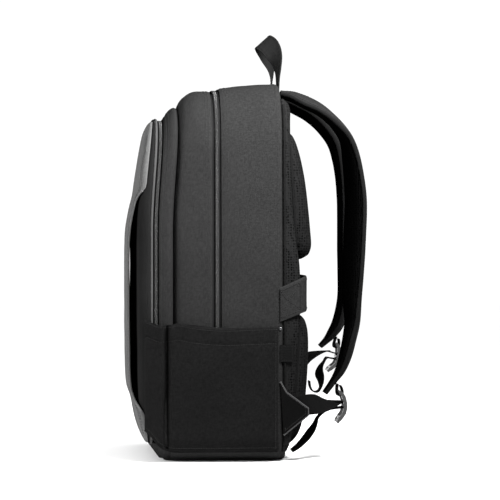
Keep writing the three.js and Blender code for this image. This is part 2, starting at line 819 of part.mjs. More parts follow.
function solid(geometry) {
  const plain = new THREE.BufferGeometry();
  plain.setAttribute("position", geometry.getAttribute("position").clone());
  if (geometry.index) plain.setIndex(geometry.index.clone());
  const merged = mergeVertices(plain, 1e-4);
  return new wasm.Manifold(new wasm.Mesh({
    numProp: 3,
    vertProperties: new Float32Array(merged.getAttribute("position").array),
    triVerts: new Uint32Array(merged.index.array),
  }));
}

function fromSolid(body) {
  const mesh = body.getMesh();
  const geometry = new THREE.BufferGeometry();
  geometry.setAttribute("position", new THREE.Float32BufferAttribute(mesh.vertProperties, 3));
  geometry.setIndex(Array.from(mesh.triVerts));
  return geometry;
}

function lockRailGeometry(offset) {
  const curve = new THREE.SplineCurve(lockProfile.map((row) => new THREE.Vector2(row.y, row.z)));
  const points = curve.getPoints(8);
  const rings = points.map((point, i) => {
    const before = points[Math.max(i - 1, 0)];
    const after = points[Math.min(i + 1, points.length - 1)];
    const normal = new THREE.Vector2(before.y - after.y, after.x - before.x).normalize();
    const end = i === 0 || i === points.length - 1 ? 0.45 : 1;
    const half = (lockWall / 2) * end;
    const at = (x, n) => [x, point.x + normal.x * n, point.y + normal.y * n];
    const low = offset - lockRail / 2;
    const high = offset + lockRail / 2;
    return [at(low, -half), at(high, -half), at(high, half), at(low, half)];
  });
  return loft(rings, "fan");
}

const lockBars = {
  top: { y: -2.6, z: 15.6, radius: 1 },
  ladder: { y: 1.2, z: 1.6, radius: 1 },
  thumb: { y: -2.8, z: -14.6, radius: 1.25 },
};

function lockGeometry() {
  const railOffset = (lockWidth - lockRail) / 2;
  let body = solid(lockRailGeometry(-railOffset)).add(solid(lockRailGeometry(railOffset)));
  for (const bar of Object.values(lockBars)) {
    const rod = new THREE.CylinderGeometry(bar.radius * lockBarRadius, bar.radius * lockBarRadius, lockWidth - lockRail, 8);
    rod.rotateZ(Math.PI / 2).translate(0, bar.y, bar.z);
    body = body.add(solid(rod));
  }
  const tab = new THREE.BoxGeometry(lockWidth - lockRail, lockWall * 0.7, 8);
  tab.rotateX(THREE.MathUtils.degToRad(-38)).translate(0, -4.3, -17);
  return fromSolid(body.add(solid(tab)));
}

// Where each lock hangs, and its lean about X in degrees
const locks = {
  right: { side: 1, y: mainDepth + 75.5, z: 0.1424 * bodyHeight, lean: 0 },
  left: { side: -1, y: mainDepth + 90, z: 0.25 * bodyHeight, lean: -14 },
};

function lockPoint(lock, y, z) {
  const angle = THREE.MathUtils.degToRad(lock.lean);
  return {
    y: lock.y + y * Math.cos(angle) - z * Math.sin(angle),
    z: lock.z + y * Math.sin(angle) + z * Math.cos(angle),
  };
}

function ladderLock(lock) {
  const geometry = lockGeometry();
  geometry.rotateX(THREE.MathUtils.degToRad(lock.lean));
  return geometry.translate(lock.side * strapFootX, lock.y, lock.z);
}

// Webbing loop from the strap's foot round the lock's top bar
function lockLoop(lock) {
  const bar = lockBars.top;
  const reach = lockBarRadius * bar.radius + clearance + webbingWall / 2;
  const rows = [
    [-reach + 0.4, 11.2],
    [-reach - 0.1, 5],
    [-reach, 0],
    [-0.7 * reach, -0.75 * reach],
    [0, -reach],
    [0.7 * reach, -0.75 * reach],
    [reach, 0],
    [reach - 0.2, 4],
    [0.35 * reach, 9],
  ].map(([y, z]) => ({
    ...lockPoint(lock, bar.y + y, bar.z + z),
    x: lock.side * strapFootX,
    width: 1,
    thick: 1,
    turn: 0,
  }));
  return strip(rows, { samples: 14, width: webbingWidth - 1, wall: webbingWall });
}

// Adjuster webbing: from the wing, round the ladder bar, and off as a free tail.
// Start rows lie between the wing's grip and the lock: across, out of the back, up, and lift above that.
const adjusterStart = {
  right: [
    { across: 0.967, out: 16.5, up: 0, lift: 0, turn: 90 },
    { across: 0.956, out: 27.5, up: 0.25, lift: 2.8, turn: 89 },
    { across: 0.877, out: 39.5, up: 0.5, lift: 4, turn: 72 },
    { across: 0.548, out: 50.5, up: 0.75, lift: 4.7, turn: 48 },
    { across: 0.197, out: 61, up: 1, lift: 5.7, turn: 18 },
  ],
  left: [
    { across: 0.967, out: 16.5, up: 0, lift: 0, turn: 90 },
    { across: 0.956, out: 27.5, up: 0.15, lift: -0.2, turn: 89 },
    { across: 0.899, out: 39.5, up: 0.58, lift: 0.2, turn: 70 },
    { across: 0.548, out: 52.5, up: 0.9, lift: 2.8, turn: 46 },
    { across: 0.197, out: 68.5, up: 1, lift: 6.5, turn: 16 },
  ],
};
// Tail rows are measured from the lock
const adjusterTail = {
  right: [
    { x: 1, y: -18, z: -4.7, turn: 0 },
    { x: 2, y: -25, z: -9.1, turn: 0 },
    { x: 3, y: -30.4, z: -15, turn: 0 },
    { x: 5, y: -34.4, z: -23.5, turn: -8 },
    { x: 7, y: -39.4, z: -31.5, turn: -14 },
    { x: 9, y: -46, z: -40.1, turn: -12 },
    { x: 10, y: -54, z: -47.9, turn: -8 },
    { x: 10, y: -62.5, z: -53.9, turn: -4 },
  ],
  left: [
    { x: 1, y: -15.5, z: -7, turn: 0 },
    { x: 2, y: -18.9, z: -14, turn: 10 },
    { x: 3, y: -20.1, z: -23, turn: 22 },
    { x: 4, y: -18.5, z: -33, turn: 10 },
    { x: 4, y: -19.1, z: -40, turn: 0 },
    { x: 4, y: -23.1, z: -45, turn: 0 },
    { x: 4, y: -28.9, z: -44.4, turn: 0 },
    { x: 4, y: -32.5, z: -39, turn: 0 },
    { x: 4, y: -33.9, z: -31, turn: 0 },
  ],
};

function adjuster(name, lock) {
  const bar = lockBars.ladder;
  const reach = lockBarRadius * bar.radius + clearance + webbingWall / 2;
  const wrap = [
    [-12, reach + 0.9],
    [-6, reach + 0.5],
    [0, reach],
    [0.9 * reach, 0.5 * reach],
    [0.9 * reach, -0.5 * reach],
    [0, -reach],
    [-6, -reach - 0.8],
    [-12, -reach - 1.6],
  ].map(([y, z]) => ({ ...lockPoint(lock, bar.y + y, bar.z + z), x: strapFootX, turn: 0 }));
  const grip = wingFoot + wingGrip * wingHeight;
  const lead = adjusterStart[name].map((row) => ({
    x: strapFootX + row.across * (wingX - strapFootX),
    y: mainDepth + row.out,
    z: grip + row.up * (lock.z - grip) + row.lift,
    turn: row.turn,
  }));
  const tail = adjusterTail[name].map((row) => ({
    x: strapFootX + row.x,
    y: lock.y + row.y,
    z: lock.z + row.z,
    turn: row.turn,
  }));
  const rows = [...lead, ...wrap, ...tail].map((row) => ({
    ...row,
    x: lock.side * row.x,
    turn: lock.side * row.turn,
    width: 1,
    thick: 1,
  }));
  return strip(rows, { samples: 44, width: webbingWidth, wall: webbingWall });
}

// Wing: a cloth triangle sewn into the rear seam
const wingShape = [
  { out: 0, up: 1 },
  { out: 0.22, up: 0.8 },
  { out: 1, up: 0.5 },
  { out: 1, up: 0.37 },
  { out: 0.12, up: 0 },
];
const wingFoot = 33;
const wingGrip = 0.523;
const seamY = mainDepth - 3.7;
const wingX = rearEdge(wingFoot + wingHeight) + clearance;
const tagMiddle = 131.5;
const tagX = rearEdge(tagMiddle + tagHeight / 2) + clearance;

function wing(side) {
  const rings = [0, wingWall].map((wall) => wingShape.map((row) => {
    return [side * (wingX + wall), seamY + wingReach * row.out, wingFoot + wingHeight * row.up];
  }));
  return loft(rings, "fan");
}

// Grab handle: flat webbing, its feet flat on the back and its middle turned and leaning to the front
const handleRows = [
  { across: 1, out: 0, up: 0, turn: 0 },
  { across: 0.99, out: 0.03, up: 0.3, turn: 4 },
  { across: 0.96, out: 0.05, up: 0.5, turn: 18 },
  { across: 0.88, out: -0.1, up: 0.7, turn: 45 },
  { across: 0.68, out: -0.45, up: 0.86, turn: 70 },
  { across: 0.34, out: -0.85, up: 0.97, turn: 84 },
  { across: 0, out: -1, up: 1, turn: 90 },
];
const handleLean = THREE.MathUtils.degToRad(42);
const handleWall = 2;
const handleForward = 15;
const handleSamples = 28;

function grabHandle() {
  const footY = mainDepth + clearance + handleWall / 2;
  const half = handleRows.map((row) => ({
    x: row.across * handleFootX,
    y: footY + row.out * handleForward,
    z: bodyHeight - handleSeat + row.up * handleRise,
    turn: row.turn,
  }));
  const other = half.slice(0, -1).reverse().map((row) => ({ ...row, x: -row.x, turn: 180 - row.turn }));
  const rows = [...half, ...other];
  const keyed = rows.map((row, k) => ({ turn: row.turn, k }));
  const places = rows.map((row) => new THREE.Vector3(row.x, row.y, row.z));
  const curve = new THREE.CatmullRomCurve3(places, false, "centripetal");
  const rings = [];
  for (let i = 0; i <= handleSamples; i += 1) {
    const t = i / handleSamples;
    const point = curve.getPoint(t);
    const tangent = curve.getTangent(t);
    const turn = THREE.MathUtils.degToRad(lookup(keyed, "k", "turn", t * (rows.length - 1)));
    const level = Math.sin(turn);
    const across = new THREE.Vector3(Math.cos(turn), level * Math.cos(handleLean), level * Math.sin(handleLean));
    across.addScaledVector(tangent, -across.dot(tangent)).normalize();
    const out = new THREE.Vector3().crossVectors(tangent, across).normalize();
    const place = (a, b) => point.clone().addScaledVector(across, a).addScaledVector(out, b).toArray();
    const w = webbingWidth / 2;
    const h = handleWall / 2;
    rings.push([place(-w, -h), place(w, -h), place(w, h), place(-w, h)]);
  }
  return loft(rings, "fan");
}

function sideLabel() {
  const geometry = new THREE.BoxGeometry(tagWall, tagWidth, tagHeight);
  return geometry.translate(tagX + tagWall / 2, seamY + tagWidth / 2, tagMiddle);
}

function rivet(side) {
  const geometry = new THREE.CylinderGeometry(rivetRadius, rivetRadius, rivetWall, 10);
  geometry.rotateZ(Math.PI / 2);
  const x = rearEdge(pocketHeight) + 3.5 * clearance + pocketWall + rivetWall / 2;
  return geometry.translate(side * x, trolleyStart - 2 * clearance - rivetRadius, pocketHeight - rivetRadius);
}

// Slider and pull in one plain piece, on the side that lies away from the view
function slider(middle, slim) {
  const z = zipEndHeight + sliderHeightAboveEnd;
  const body = new THREE.BoxGeometry(sliderHeight, sliderWidth, sliderLength);
  const surface = -(rearEdge(z) - slim * frontSlim - tapeInset) - coilHeight - coilSeat - clearance;
  body.translate(surface - sliderHeight / 2, middle, z);
  const pull = new THREE.BoxGeometry(pullWall, pullWidth, pullLength);
  pull.translate(surface - sliderHeight - pullWall / 2 + 0.4, middle, z - pullLength / 2);
  return fromSolid(solid(body).add(solid(pull)));
}

add("rear_shell", rearShell(), "cloth");
add("middle_shell", middleShell(), "cloth");
add("front_gusset", frontGusset(), "cloth");
add("main_zip_tape", mainZipTape(), "zip");
add("front_zip_tape", frontZipTape(), "zip");
add("front_piping", piping(), "cloth");
add("main_zip_coil", zipCoil(mainZipMiddle, 0), "zip");
add("front_zip_coil", zipCoil(frontZipMiddle, frontLean), "zip");
add("main_zip_slider", slider(mainZipMiddle, 0), "metal");
add("front_zip_slider", slider(frontZipMiddle, 0.8), "metal");
add("front_panel", frontPanel(), "cloth");
add("front_overlay", frontOverlay(), "cloth");
add("base_panel", basePanel(), "cloth");
add("back_panel", backPanel(), "cloth");
add("trolley_strap", trolleyStrap(), "cloth");
add("side_label", sideLabel(), "cloth");
add("grab_handle", grabHandle(), "webbing");
for (const [name, lock] of Object.entries(locks)) {
  add(`upper_pad_${name}`, backPad(upperPadRows, lock.side, upperPadRise), "mesh");
  add(`lower_pad_${name}`, backPad(lowerPadRows, lock.side, lowerPadRise), "mesh");
  add(`side_pocket_${name}`, sidePocket(lock.side), "cloth");
  add(`pocket_rivet_${name}`, rivet(lock.side), "metal");
  add(`webbing_wing_${name}`, wing(lock.side), "cloth");
  add(`shoulder_strap_${name}`, shoulderStrap(name), "mesh");
  add(`lock_loop_${name}`, lockLoop(lock), "webbing");
  add(`ladder_lock_${name}`, ladderLock(lock), "plastic");
  add(`adjuster_webbing_${name}`, adjuster(name, lock), "webbing");
}

export default group;
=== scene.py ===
"""Laptop backpack: cloth, mesh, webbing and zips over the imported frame, on a pale studio floor."""
import math
import random

import bmesh
import bpy
from mathutils import Matrix, Vector, noise
from mathutils.bvhtree import BVHTree


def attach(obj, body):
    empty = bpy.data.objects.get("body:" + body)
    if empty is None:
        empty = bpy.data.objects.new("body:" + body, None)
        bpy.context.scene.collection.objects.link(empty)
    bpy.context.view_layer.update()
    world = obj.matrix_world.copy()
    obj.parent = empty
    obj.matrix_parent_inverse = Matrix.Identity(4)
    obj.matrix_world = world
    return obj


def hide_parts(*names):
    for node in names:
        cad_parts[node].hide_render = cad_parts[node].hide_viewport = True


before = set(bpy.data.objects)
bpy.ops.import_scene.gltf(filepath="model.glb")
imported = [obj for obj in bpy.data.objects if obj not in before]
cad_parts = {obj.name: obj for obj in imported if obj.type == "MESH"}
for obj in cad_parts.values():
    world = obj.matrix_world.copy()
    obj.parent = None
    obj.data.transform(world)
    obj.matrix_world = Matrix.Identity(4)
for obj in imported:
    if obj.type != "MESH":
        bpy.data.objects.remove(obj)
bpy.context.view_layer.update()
MM = 0.001
SIDES = {"right": 1, "left": -1}

# Body sizes in millimetres, as in the part's source
HEIGHT, HALF = 460.0, 150.0
TOP_NARROWING, SIDE_BOW, TOP_CROWN = 8.0, 2.0, 3.0
TOP_RADIUS, FOOT_RADIUS = 75.0, 30.0
MAIN_DEPTH, MIDDLE_REAR, MIDDLE_DEPTH, MIDDLE_FRONT = 73.5, -11.5, 46.0, -57.5
GUSSET_REAR, GUSSET_DEPTH, GUSSET_FRONT, PANEL_RIM = -58.3, 17.0, -75.3, -85.8
FRONT_DROP, FRONT_SLIM, LEAN, EDGE = 44.0, 5.0, 7.0, 8.0
SHELL_BOTTOM, PANEL_BOTTOM = 3.4, 20.0
CLOTH, CLEAR, PIPING = 2.4, 0.4, 1.5
TAPE_INSET, TAPE_WALL = 4.0, 1.2
PANEL_BULGE, PANEL_SHOULDER, PANEL_CROWN = 13.7, 16.0, 4.0
OVERLAY_WALL, OVERLAY_LAY, SLIP_GAP, SLIP_CUT = 2.4, 1.6, 7.0, 34.0
BACK_FRONT, BACK_DEPTH, BACK_EDGE = 73.9, 22.0, 9.0
PAD_RISE = {"upper": 24.0, "lower": 19.0}
PAD_WIDTH, PAD_SPREAD = 112.0, 68.0
POCKET_HEIGHT, POCKET_BULGE, POCKET_WALL = 163.0, 8.0, 2.0
WEBBING, WEB_WALL = 25.0, 1.6
STRAP_REACH, STRAP_WIDTH, STRAP_WALL, STRAP_ROOT, STRAP_FOOT = 101.5, 66.0, 15.0, 52.0, 106.0


def smooth_step(low, high, at):
    t = min(max((at - low) / (high - low), 0.0), 1.0)
    return t * t * (3 - 2 * t)


def lookup(table, column, at):
    """Value of one column of a table of tuples at a key, along a smooth curve through its rows."""
    rows = table if table[0][0] <= table[-1][0] else table[::-1]
    last = len(rows) - 1
    if at <= rows[0][0]:
        return rows[0][column]
    if at >= rows[last][0]:
        return rows[last][column]
    i = 0
    while at > rows[i + 1][0]:
        i += 1

    def slope(a, b):
        return (rows[b][column] - rows[a][column]) / (rows[b][0] - rows[a][0])

    span = rows[i + 1][0] - rows[i][0]
    t = (at - rows[i][0]) / span
    start = slope(max(i - 1, 0), i + 1) * span
    end = slope(i, min(i + 2, last)) * span
    low, high = rows[i][column], rows[i + 1][column]
    return ((2 * low - 2 * high + start + end) * t + 3 * high - 3 * low - 2 * start - end) * t * t + start * t + low


def grain(x, y, z, size):
    return noise.noise(Vector((x / size, y / size, z / size)))


# ---- body surface
def flare(z, bottom, top):
    bow = SIDE_BOW * math.sin(math.pi * min(max((z - bottom) / (top - bottom), 0), 1))
    return 1 + (bow - TOP_NARROWING * smooth_step(0.35 * HEIGHT, 0.85 * HEIGHT, z)) / HALF


def edge_at(z, half, bottom, top):
    above, below = max(z - (top - TOP_RADIUS), 0), max(bottom + FOOT_RADIUS - z, 0)
    high = TOP_RADIUS - math.sqrt(max(TOP_RADIUS ** 2 - above ** 2, 0))
    low = FOOT_RADIUS - math.sqrt(max(FOOT_RADIUS ** 2 - below ** 2, 0))
    return (half - high - low) * flare(z, bottom, top)


def rear_edge(z):
    return edge_at(z, HALF, SHELL_BOTTOM, HEIGHT)


COUNTS = (26, 8, 92, 22, 44)


def outline(half, bottom, top, top_radius, foot_radius):
    low, high = min(foot_radius, half), min(top_radius, half)
    points = []

    def push(x, z):
        flat = max(half - high, 1)
        crown = TOP_CROWN * (1 - (x / flat) ** 2) if abs(x) < flat and z > (top + bottom) / 2 else 0
        points.append((x * flare(z, bottom, top), z + crown))

    def arc(cx, cz, radius, turn, count):
        for i in range(count):
            angle = turn + math.pi / 2 * i / count
            push(cx + radius * math.cos(angle), cz + radius * math.sin(angle))

    def line(x0, z0, x1, z1, count):
        for i in range(count):
            push(x0 + (x1 - x0) * i / count, z0 + (z1 - z0) * i / count)

    foot, foot_corner, side, top_corner, crest = COUNTS
    line(low - half, bottom, half - low, bottom, foot)
    arc(half - low, bottom + low, low, -math.pi / 2, foot_corner)
    line(half, bottom + low, half, top - high, side)
    arc(half - high, top - high, high, 0, top_corner)
    line(half - high, top, high - half, top, crest)
    arc(high - half, top - high, high, math.pi / 2, top_corner)
    line(-half, top - high, -half, bottom + low, side)
    arc(low - half, bottom + low, low, math.pi, foot_corner)
    return points


# depth, then drop of the top, lift of the foot and slimming
DEPTHS = [
    (PANEL_RIM, 1, 1, 1), (GUSSET_FRONT, 1, 0.36, 0.8), (GUSSET_FRONT + 0.5 * GUSSET_DEPTH, 0.75, 0, 0.6),
    (GUSSET_REAR, 0.59, 0, 0.5), (MIDDLE_FRONT, 0.52, 0, 0.5), (MIDDLE_FRONT + 0.25 * MIDDLE_DEPTH, 0.34, 0, 0.24),
    (MIDDLE_FRONT + 0.55 * MIDDLE_DEPTH, 0.227, 0, 0.08), (MIDDLE_REAR, 0.205, 0, 0), (0, 0.136, 0, 0),
    (0.5 * MAIN_DEPTH, 0.045, 0, 0), (MAIN_DEPTH, 0, 0, 0),
]


def body_ring(y, inset, lean=0.0, at=None):
    at = y if at is None else at
    ring = outline(
        HALF - FRONT_SLIM * lookup(DEPTHS, 3, at) - inset,
        SHELL_BOTTOM + (PANEL_BOTTOM - SHELL_BOTTOM) * lookup(DEPTHS, 2, at) + inset,
        HEIGHT - FRONT_DROP * lookup(DEPTHS, 1, at) - inset,
        max(TOP_RADIUS - inset, 1), max(FOOT_RADIUS - inset, 1),
    )
    return [Vector((x, y + lean * smooth_step(0.6 * HEIGHT, HEIGHT - FRONT_DROP, z), z)) for x, z in ring]


def push_out(ring, amount):
    """Moves a ring's points square to it, in its own upright plane, by amount(point, index)."""
    count = len(ring)
    moved = []
    for i, p in enumerate(ring):
        d = ring[(i + 1) % count] - ring[i - 1]
        n = Vector((d.z, 0, -d.x)).normalized()
        moved.append(p + n * amount(p, i))
    return moved


# ---- meshes
def place(name, mesh, materials, replaced=()):
    obj = bpy.data.objects.new(name, mesh)
    bpy.context.scene.collection.objects.link(obj)
    for material in materials:
        mesh.materials.append(material)
    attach(obj, "root")
    if replaced:
        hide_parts(*replaced)
    return obj


def skin(name, rows, around=False, loop=False, caps=False, paint=None, sharp=50):
    """Mesh over a grid of points in millimetres, with a map in metres: u along each row, v from row to row."""
    high, wide = len(rows), len(rows[0])
    middle = rows[high // 2]
    u = [0.0]
    for i in range(wide):
        u.append(u[-1] + (Vector(middle[(i + 1) % wide]) - Vector(middle[i])).length * MM)
    v = [0.0]
    for r in range(high):
        step = rows[(r + 1) % high]
        spread = [(Vector(step[i]) - Vector(rows[r][i])).length for i in range(0, wide, max(wide // 12, 1))]
        v.append(v[-1] + sum(spread) / len(spread) * MM)
    faces, corners, inks = [], [], []
    for r in range(high if loop else high - 1):
        for i in range(wide if around else wide - 1):
            j, s = (i + 1) % wide, (r + 1) % high
            faces.append((r * wide + i, r * wide + j, s * wide + j, s * wide + i))
            corners.append(((u[i], v[r]), (u[i + 1], v[r]), (u[i + 1], v[r + 1]), (u[i], v[r + 1])))
            inks.append(paint(i, r) if paint else 0)
    if caps:
        for r in (0, high - 1):
            face = tuple(r * wide + i for i in range(wide))
            faces.append(face)
            corners.append(tuple((rows[r][i][0] * MM, rows[r][i][2] * MM) for i in range(wide)))
            inks.append(paint(0, r) if paint else 0)
    mesh = bpy.data.meshes.new(name)
    mesh.from_pydata([tuple(c * MM for c in p) for row in rows for p in row], [], faces)
    layer = mesh.uv_layers.new(name="cloth")
    flat = [c for face in corners for pair in face for c in pair]
    layer.data.foreach_set("uv", flat)
    mesh.polygons.foreach_set("material_index", inks)
    bm = bmesh.new()
    bm.from_mesh(mesh)
    bmesh.ops.recalc_face_normals(bm, faces=bm.faces)
    bm.to_mesh(mesh)
    bm.free()
    mesh.shade_smooth()
    mesh.set_sharp_from_angle(angle=math.radians(sharp))
    return mesh


def tube(name, path, radius, sides=8, closed=False):
    """Round tube along points in millimetres."""
    rows = []
    count = len(path)
    side = None
    for i, p in enumerate(path):
        before = path[i - 1] if i or closed else path[0]
        after = path[(i + 1) % count] if i < count - 1 or closed else path[-1]
        d = (after - before).normalized()
        if side is None:
            side = d.orthogonal().normalized()
        side = (side - d * side.dot(d)).normalized()
        up = d.cross(side)
        turns = [2 * math.pi * k / sides for k in range(sides)]
        rows.append([p + radius * (side * math.cos(a) + up * math.sin(a)) for a in turns])
    return skin(name, rows, around=True, loop=closed, caps=not closed, sharp=80)


def tree_of(obj):
    mesh = obj.data
    return BVHTree.FromPolygons([v.co.copy() for v in mesh.vertices], [tuple(p.vertices) for p in mesh.polygons])


def drop_on(tree, points, direction, reach=30.0):
    """Where points in millimetres land on a piece when pushed along a direction: (point, normal) pairs."""
    landed = []
    for p in points:
        way = direction(p) if callable(direction) else direction
        hit, normal, _, _ = tree.ray_cast((p - way * reach) * MM, way, 3 * reach * MM)
        if hit is not None:
            landed.append((hit / MM, normal if normal.dot(way) < 0 else -normal))
    return landed


def resample(path, pitch):
    """Evenly spaced points, directions and normals along (point, normal) pairs."""
    placed, need, travelled = [], pitch / 2, 0.0
    for (a, na), (b, nb) in zip(path, path[1:]):
        span = (b - a).length
        if span < 1e-6 or span > 25:
            continue
        while travelled + span >= need:
            t = (need - travelled) / span
            placed.append((a.lerp(b, t), (b - a).normalized(), na.lerp(nb, t).normalized()))
            need += pitch
        travelled += span
    return placed


STITCH_SIDES = 5


def stitches(name, paths, material, pitch=3.6, length=2.9, radius=0.34, sink=0.12):
    """Rows of thread stitches, each a small rounded stick lying on the cloth, as one joined mesh."""
    verts, faces = [], []
    shape = [(-0.5, 0.25), (-0.36, 0.9), (0.36, 0.9), (0.5, 0.25)]
    for path in paths:
        for point, along, normal in resample(path, pitch):
            across = along.cross(normal).normalized()
            base = len(verts)
            for s, r in shape:
                middle = point + normal * (radius * (1.0 - abs(s) * 1.2) - sink) + along * s * length
                for k in range(STITCH_SIDES):
                    a = 2 * math.pi * k / STITCH_SIDES
                    verts.append((middle + radius * r * (across * math.cos(a) + normal * math.sin(a))) * MM)
            for ring in range(len(shape) - 1):
                for k in range(STITCH_SIDES):
                    n = (k + 1) % STITCH_SIDES
                    at = base + ring * STITCH_SIDES
                    faces.append((at + k, at + n, at + STITCH_SIDES + n, at + STITCH_SIDES + k))
            faces.append(tuple(base + k for k in range(STITCH_SIDES))[::-1])
            faces.append(tuple(base + (len(shape) - 1) * STITCH_SIDES + k for k in range(STITCH_SIDES)))
    if not verts:
        return None
    mesh = bpy.data.meshes.new(name)
    mesh.from_pydata([tuple(v) for v in verts], [], faces)
    mesh.shade_smooth()
    return place(name, mesh, [material])


# ---- materials
def node(tree, kind, inputs=None, **settings):
    made = tree.nodes.new(kind)
    for key, value in settings.items():
        setattr(made, key, value)
    for key, value in (inputs or {}).items():
        socket = made.inputs[key]
        if isinstance(value, bpy.types.NodeSocket):
            tree.links.new(value, socket)
        else:
            socket.default_value = value
    return made


def material(name, dark, light, rough, sheen=0.0, coat=0.0, metallic=0.0, weave=0.0, weave_bump=0.3, rib=0.0,
             cells=0.0, heather=0.5, mottle=0.16, wear=0.12, fine=0.0, speckle=0.0, gloss=0.004):
    """Procedural finish: thread colours, a woven, ribbed or open-celled relief with painted shade in its cells, slow
    colour changes and worn edges.
    """
    made = bpy.data.materials.new(name)
    made.use_nodes = True
    tree = made.node_tree
    tree.nodes.clear()
    out = node(tree, "ShaderNodeOutputMaterial")
    coords = node(tree, "ShaderNodeTexCoord")
    uv = coords.outputs["UV"]
    solid = coords.outputs["Object"]
    heights = []
    source = solid
    if weave or rib:
        source = uv
    thread = node(tree, "ShaderNodeVectorMath", {0: source, 1: (700.0, 2600.0, 1400.0)}, operation="MULTIPLY")
    strand = node(tree, "ShaderNodeTexNoise", {"Vector": thread.outputs[0], "Scale": 1.0, "Detail": 2.0})
    crossed = node(tree, "ShaderNodeVectorMath", {0: source, 1: (2600.0, 700.0, 1400.0)}, operation="MULTIPLY")
    strand2 = node(tree, "ShaderNodeTexNoise", {"Vector": crossed.outputs[0], "Scale": 1.0, "Detail": 2.0})
    both = node(tree, "ShaderNodeMath", {0: strand.outputs[0], 1: strand2.outputs[0]}, operation="ADD")
    spread = node(tree, "ShaderNodeMapRange", {
        "Value": both.outputs[0], "From Min": 1.0 - 0.28, "From Max": 1.0 + 0.28,
        "To Min": 0.5 - heather / 2, "To Max": 0.5 + heather / 2,
    })
    colour = node(tree, "ShaderNodeMix", {
        "Factor": spread.outputs[0], 6: (*dark, 1.0), 7: (*light, 1.0),
    }, data_type="RGBA")
    slow = node(tree, "ShaderNodeTexNoise", {"Vector": solid, "Scale": 14.0, "Detail": 4.0, "Roughness": 0.6})
    shade = node(tree, "ShaderNodeMapRange", {
        "Value": slow.outputs[0], "From Min": 0.3, "From Max": 0.7, "To Min": 1 - mottle, "To Max": 1 + mottle,
    })
    tinted = node(tree, "ShaderNodeVectorMath", {0: colour.outputs[2], 1: shade.outputs[0]}, operation="MULTIPLY")
    if speckle:
        slubs = node(tree, "ShaderNodeVectorMath", {0: source, 1: (190.0, 620.0, 400.0)}, operation="MULTIPLY")
        slub = node(tree, "ShaderNodeTexNoise", {"Vector": slubs.outputs[0], "Scale": 1.0, "Detail": 3.0})
        cross = node(tree, "ShaderNodeVectorMath", {0: source, 1: (620.0, 190.0, 400.0)}, operation="MULTIPLY")
        crossed_slub = node(tree, "ShaderNodeTexNoise", {"Vector": cross.outputs[0], "Scale": 1.0, "Detail": 3.0})
        total = node(tree, "ShaderNodeMath", {0: slub.outputs[0], 1: crossed_slub.outputs[0]}, operation="ADD")
        flecks = node(tree, "ShaderNodeMapRange", {
            "Value": total.outputs[0], "From Min": 0.8, "From Max": 1.2, "To Min": 1 - speckle, "To Max": 1 + speckle,
        })
        tinted = node(tree, "ShaderNodeVectorMath", {0: tinted.outputs[0], 1: flecks.outputs[0]}, operation="MULTIPLY")
    shine = node(tree, "ShaderNodeNewGeometry")
    worn = node(tree, "ShaderNodeMapRange", {
        "Value": shine.outputs["Pointiness"], "From Min": 0.53, "From Max": 0.62, "To Min": 0.0, "To Max": wear,
    })
    rubbed = node(tree, "ShaderNodeMix", {
        "Factor": worn.outputs[0], 6: tinted.outputs[0], 7: tuple(min(c * 3.0, 1.0) for c in light) + (1.0,),
    }, data_type="RGBA")
    final = rubbed.outputs[2]
    if weave:
        turns = 2 * math.pi / (weave * MM)
        scaled = node(tree, "ShaderNodeVectorMath", {0: uv, 1: (turns, turns, 0.0)}, operation="MULTIPLY")
        waves = node(tree, "ShaderNodeVectorMath", {0: scaled.outputs[0]}, operation="SINE")
        parts = node(tree, "ShaderNodeSeparateXYZ", {0: waves.outputs[0]})
        knit = node(tree, "ShaderNodeMath", {0: parts.outputs[0], 1: parts.outputs[1]}, operation="MULTIPLY")
        heights.append((knit.outputs[0], weave_bump, weave * 0.00018))
    if rib:
        turns = 2 * math.pi / (rib * MM)
        scaled = node(tree, "ShaderNodeVectorMath", {0: uv, 1: (turns, turns * 0.55, 0.0)}, operation="MULTIPLY")
        waves = node(tree, "ShaderNodeVectorMath", {0: scaled.outputs[0]}, operation="SINE")
        parts = node(tree, "ShaderNodeSeparateXYZ", {0: waves.outputs[0]})
        ribs = node(tree, "ShaderNodeMath", {0: parts.outputs[0], 1: 0.7}, operation="MULTIPLY")
        weft = node(tree, "ShaderNodeMath", {0: parts.outputs[1], 1: 0.4, 2: ribs.outputs[0]}, operation="MULTIPLY_ADD")
        heights.append((weft.outputs[0], 0.5, 0.0003))
    if cells:
        holes = node(tree, "ShaderNodeTexVoronoi", {"Vector": solid, "Scale": 1 / (cells * MM), "Randomness": 0.35})
        pits = node(tree, "ShaderNodeMapRange", {
            "Value": holes.outputs["Distance"], "From Min": 0.12, "From Max": 0.5, "To Min": 0.0, "To Max": 1.0,
        })
        heights.append((pits.outputs[0], 0.8, 0.0006))
        # The cell pits are painted darker and the cell rims lighter: painted shade in the holes of the mesh.
        painted_pit_shade = node(tree, "ShaderNodeMapRange", {"Value": pits.outputs[0], "To Min": 0.04, "To Max": 1.6})
        final = node(tree, "ShaderNodeVectorMath", {0: final, 1: painted_pit_shade.outputs[0]}, operation="MULTIPLY").outputs[0]
    fuzz = node(tree, "ShaderNodeTexNoise", {"Vector": solid, "Scale": 900.0 if fine == 0 else fine, "Detail": 3.0})
    heights.append((fuzz.outputs[0], 0.25, 0.0002))
    normal = None
    for height, strength, distance in heights:
        values = {"Height": height, "Strength": strength, "Distance": distance}
        if normal is not None:
            values["Normal"] = normal
        normal = node(tree, "ShaderNodeBump", values).outputs[0]
    polish = node(tree, "ShaderNodeMapRange", {
        "Value": slow.outputs[0], "From Min": 0.3, "From Max": 0.7,
        "To Min": max(rough - 0.06, 0.05), "To Max": min(rough + 0.06, 1.0),
    })
    shader = node(tree, "ShaderNodeBsdfPrincipled", {
        "Base Color": final, "Roughness": polish.outputs[0], "Normal": normal, "Metallic": metallic,
        "Sheen Weight": sheen, "Sheen Roughness": 0.5, "Coat Weight": coat, "Specular IOR Level": gloss,
    })
    tree.links.new(shader.outputs[0], out.inputs[0])
    return made


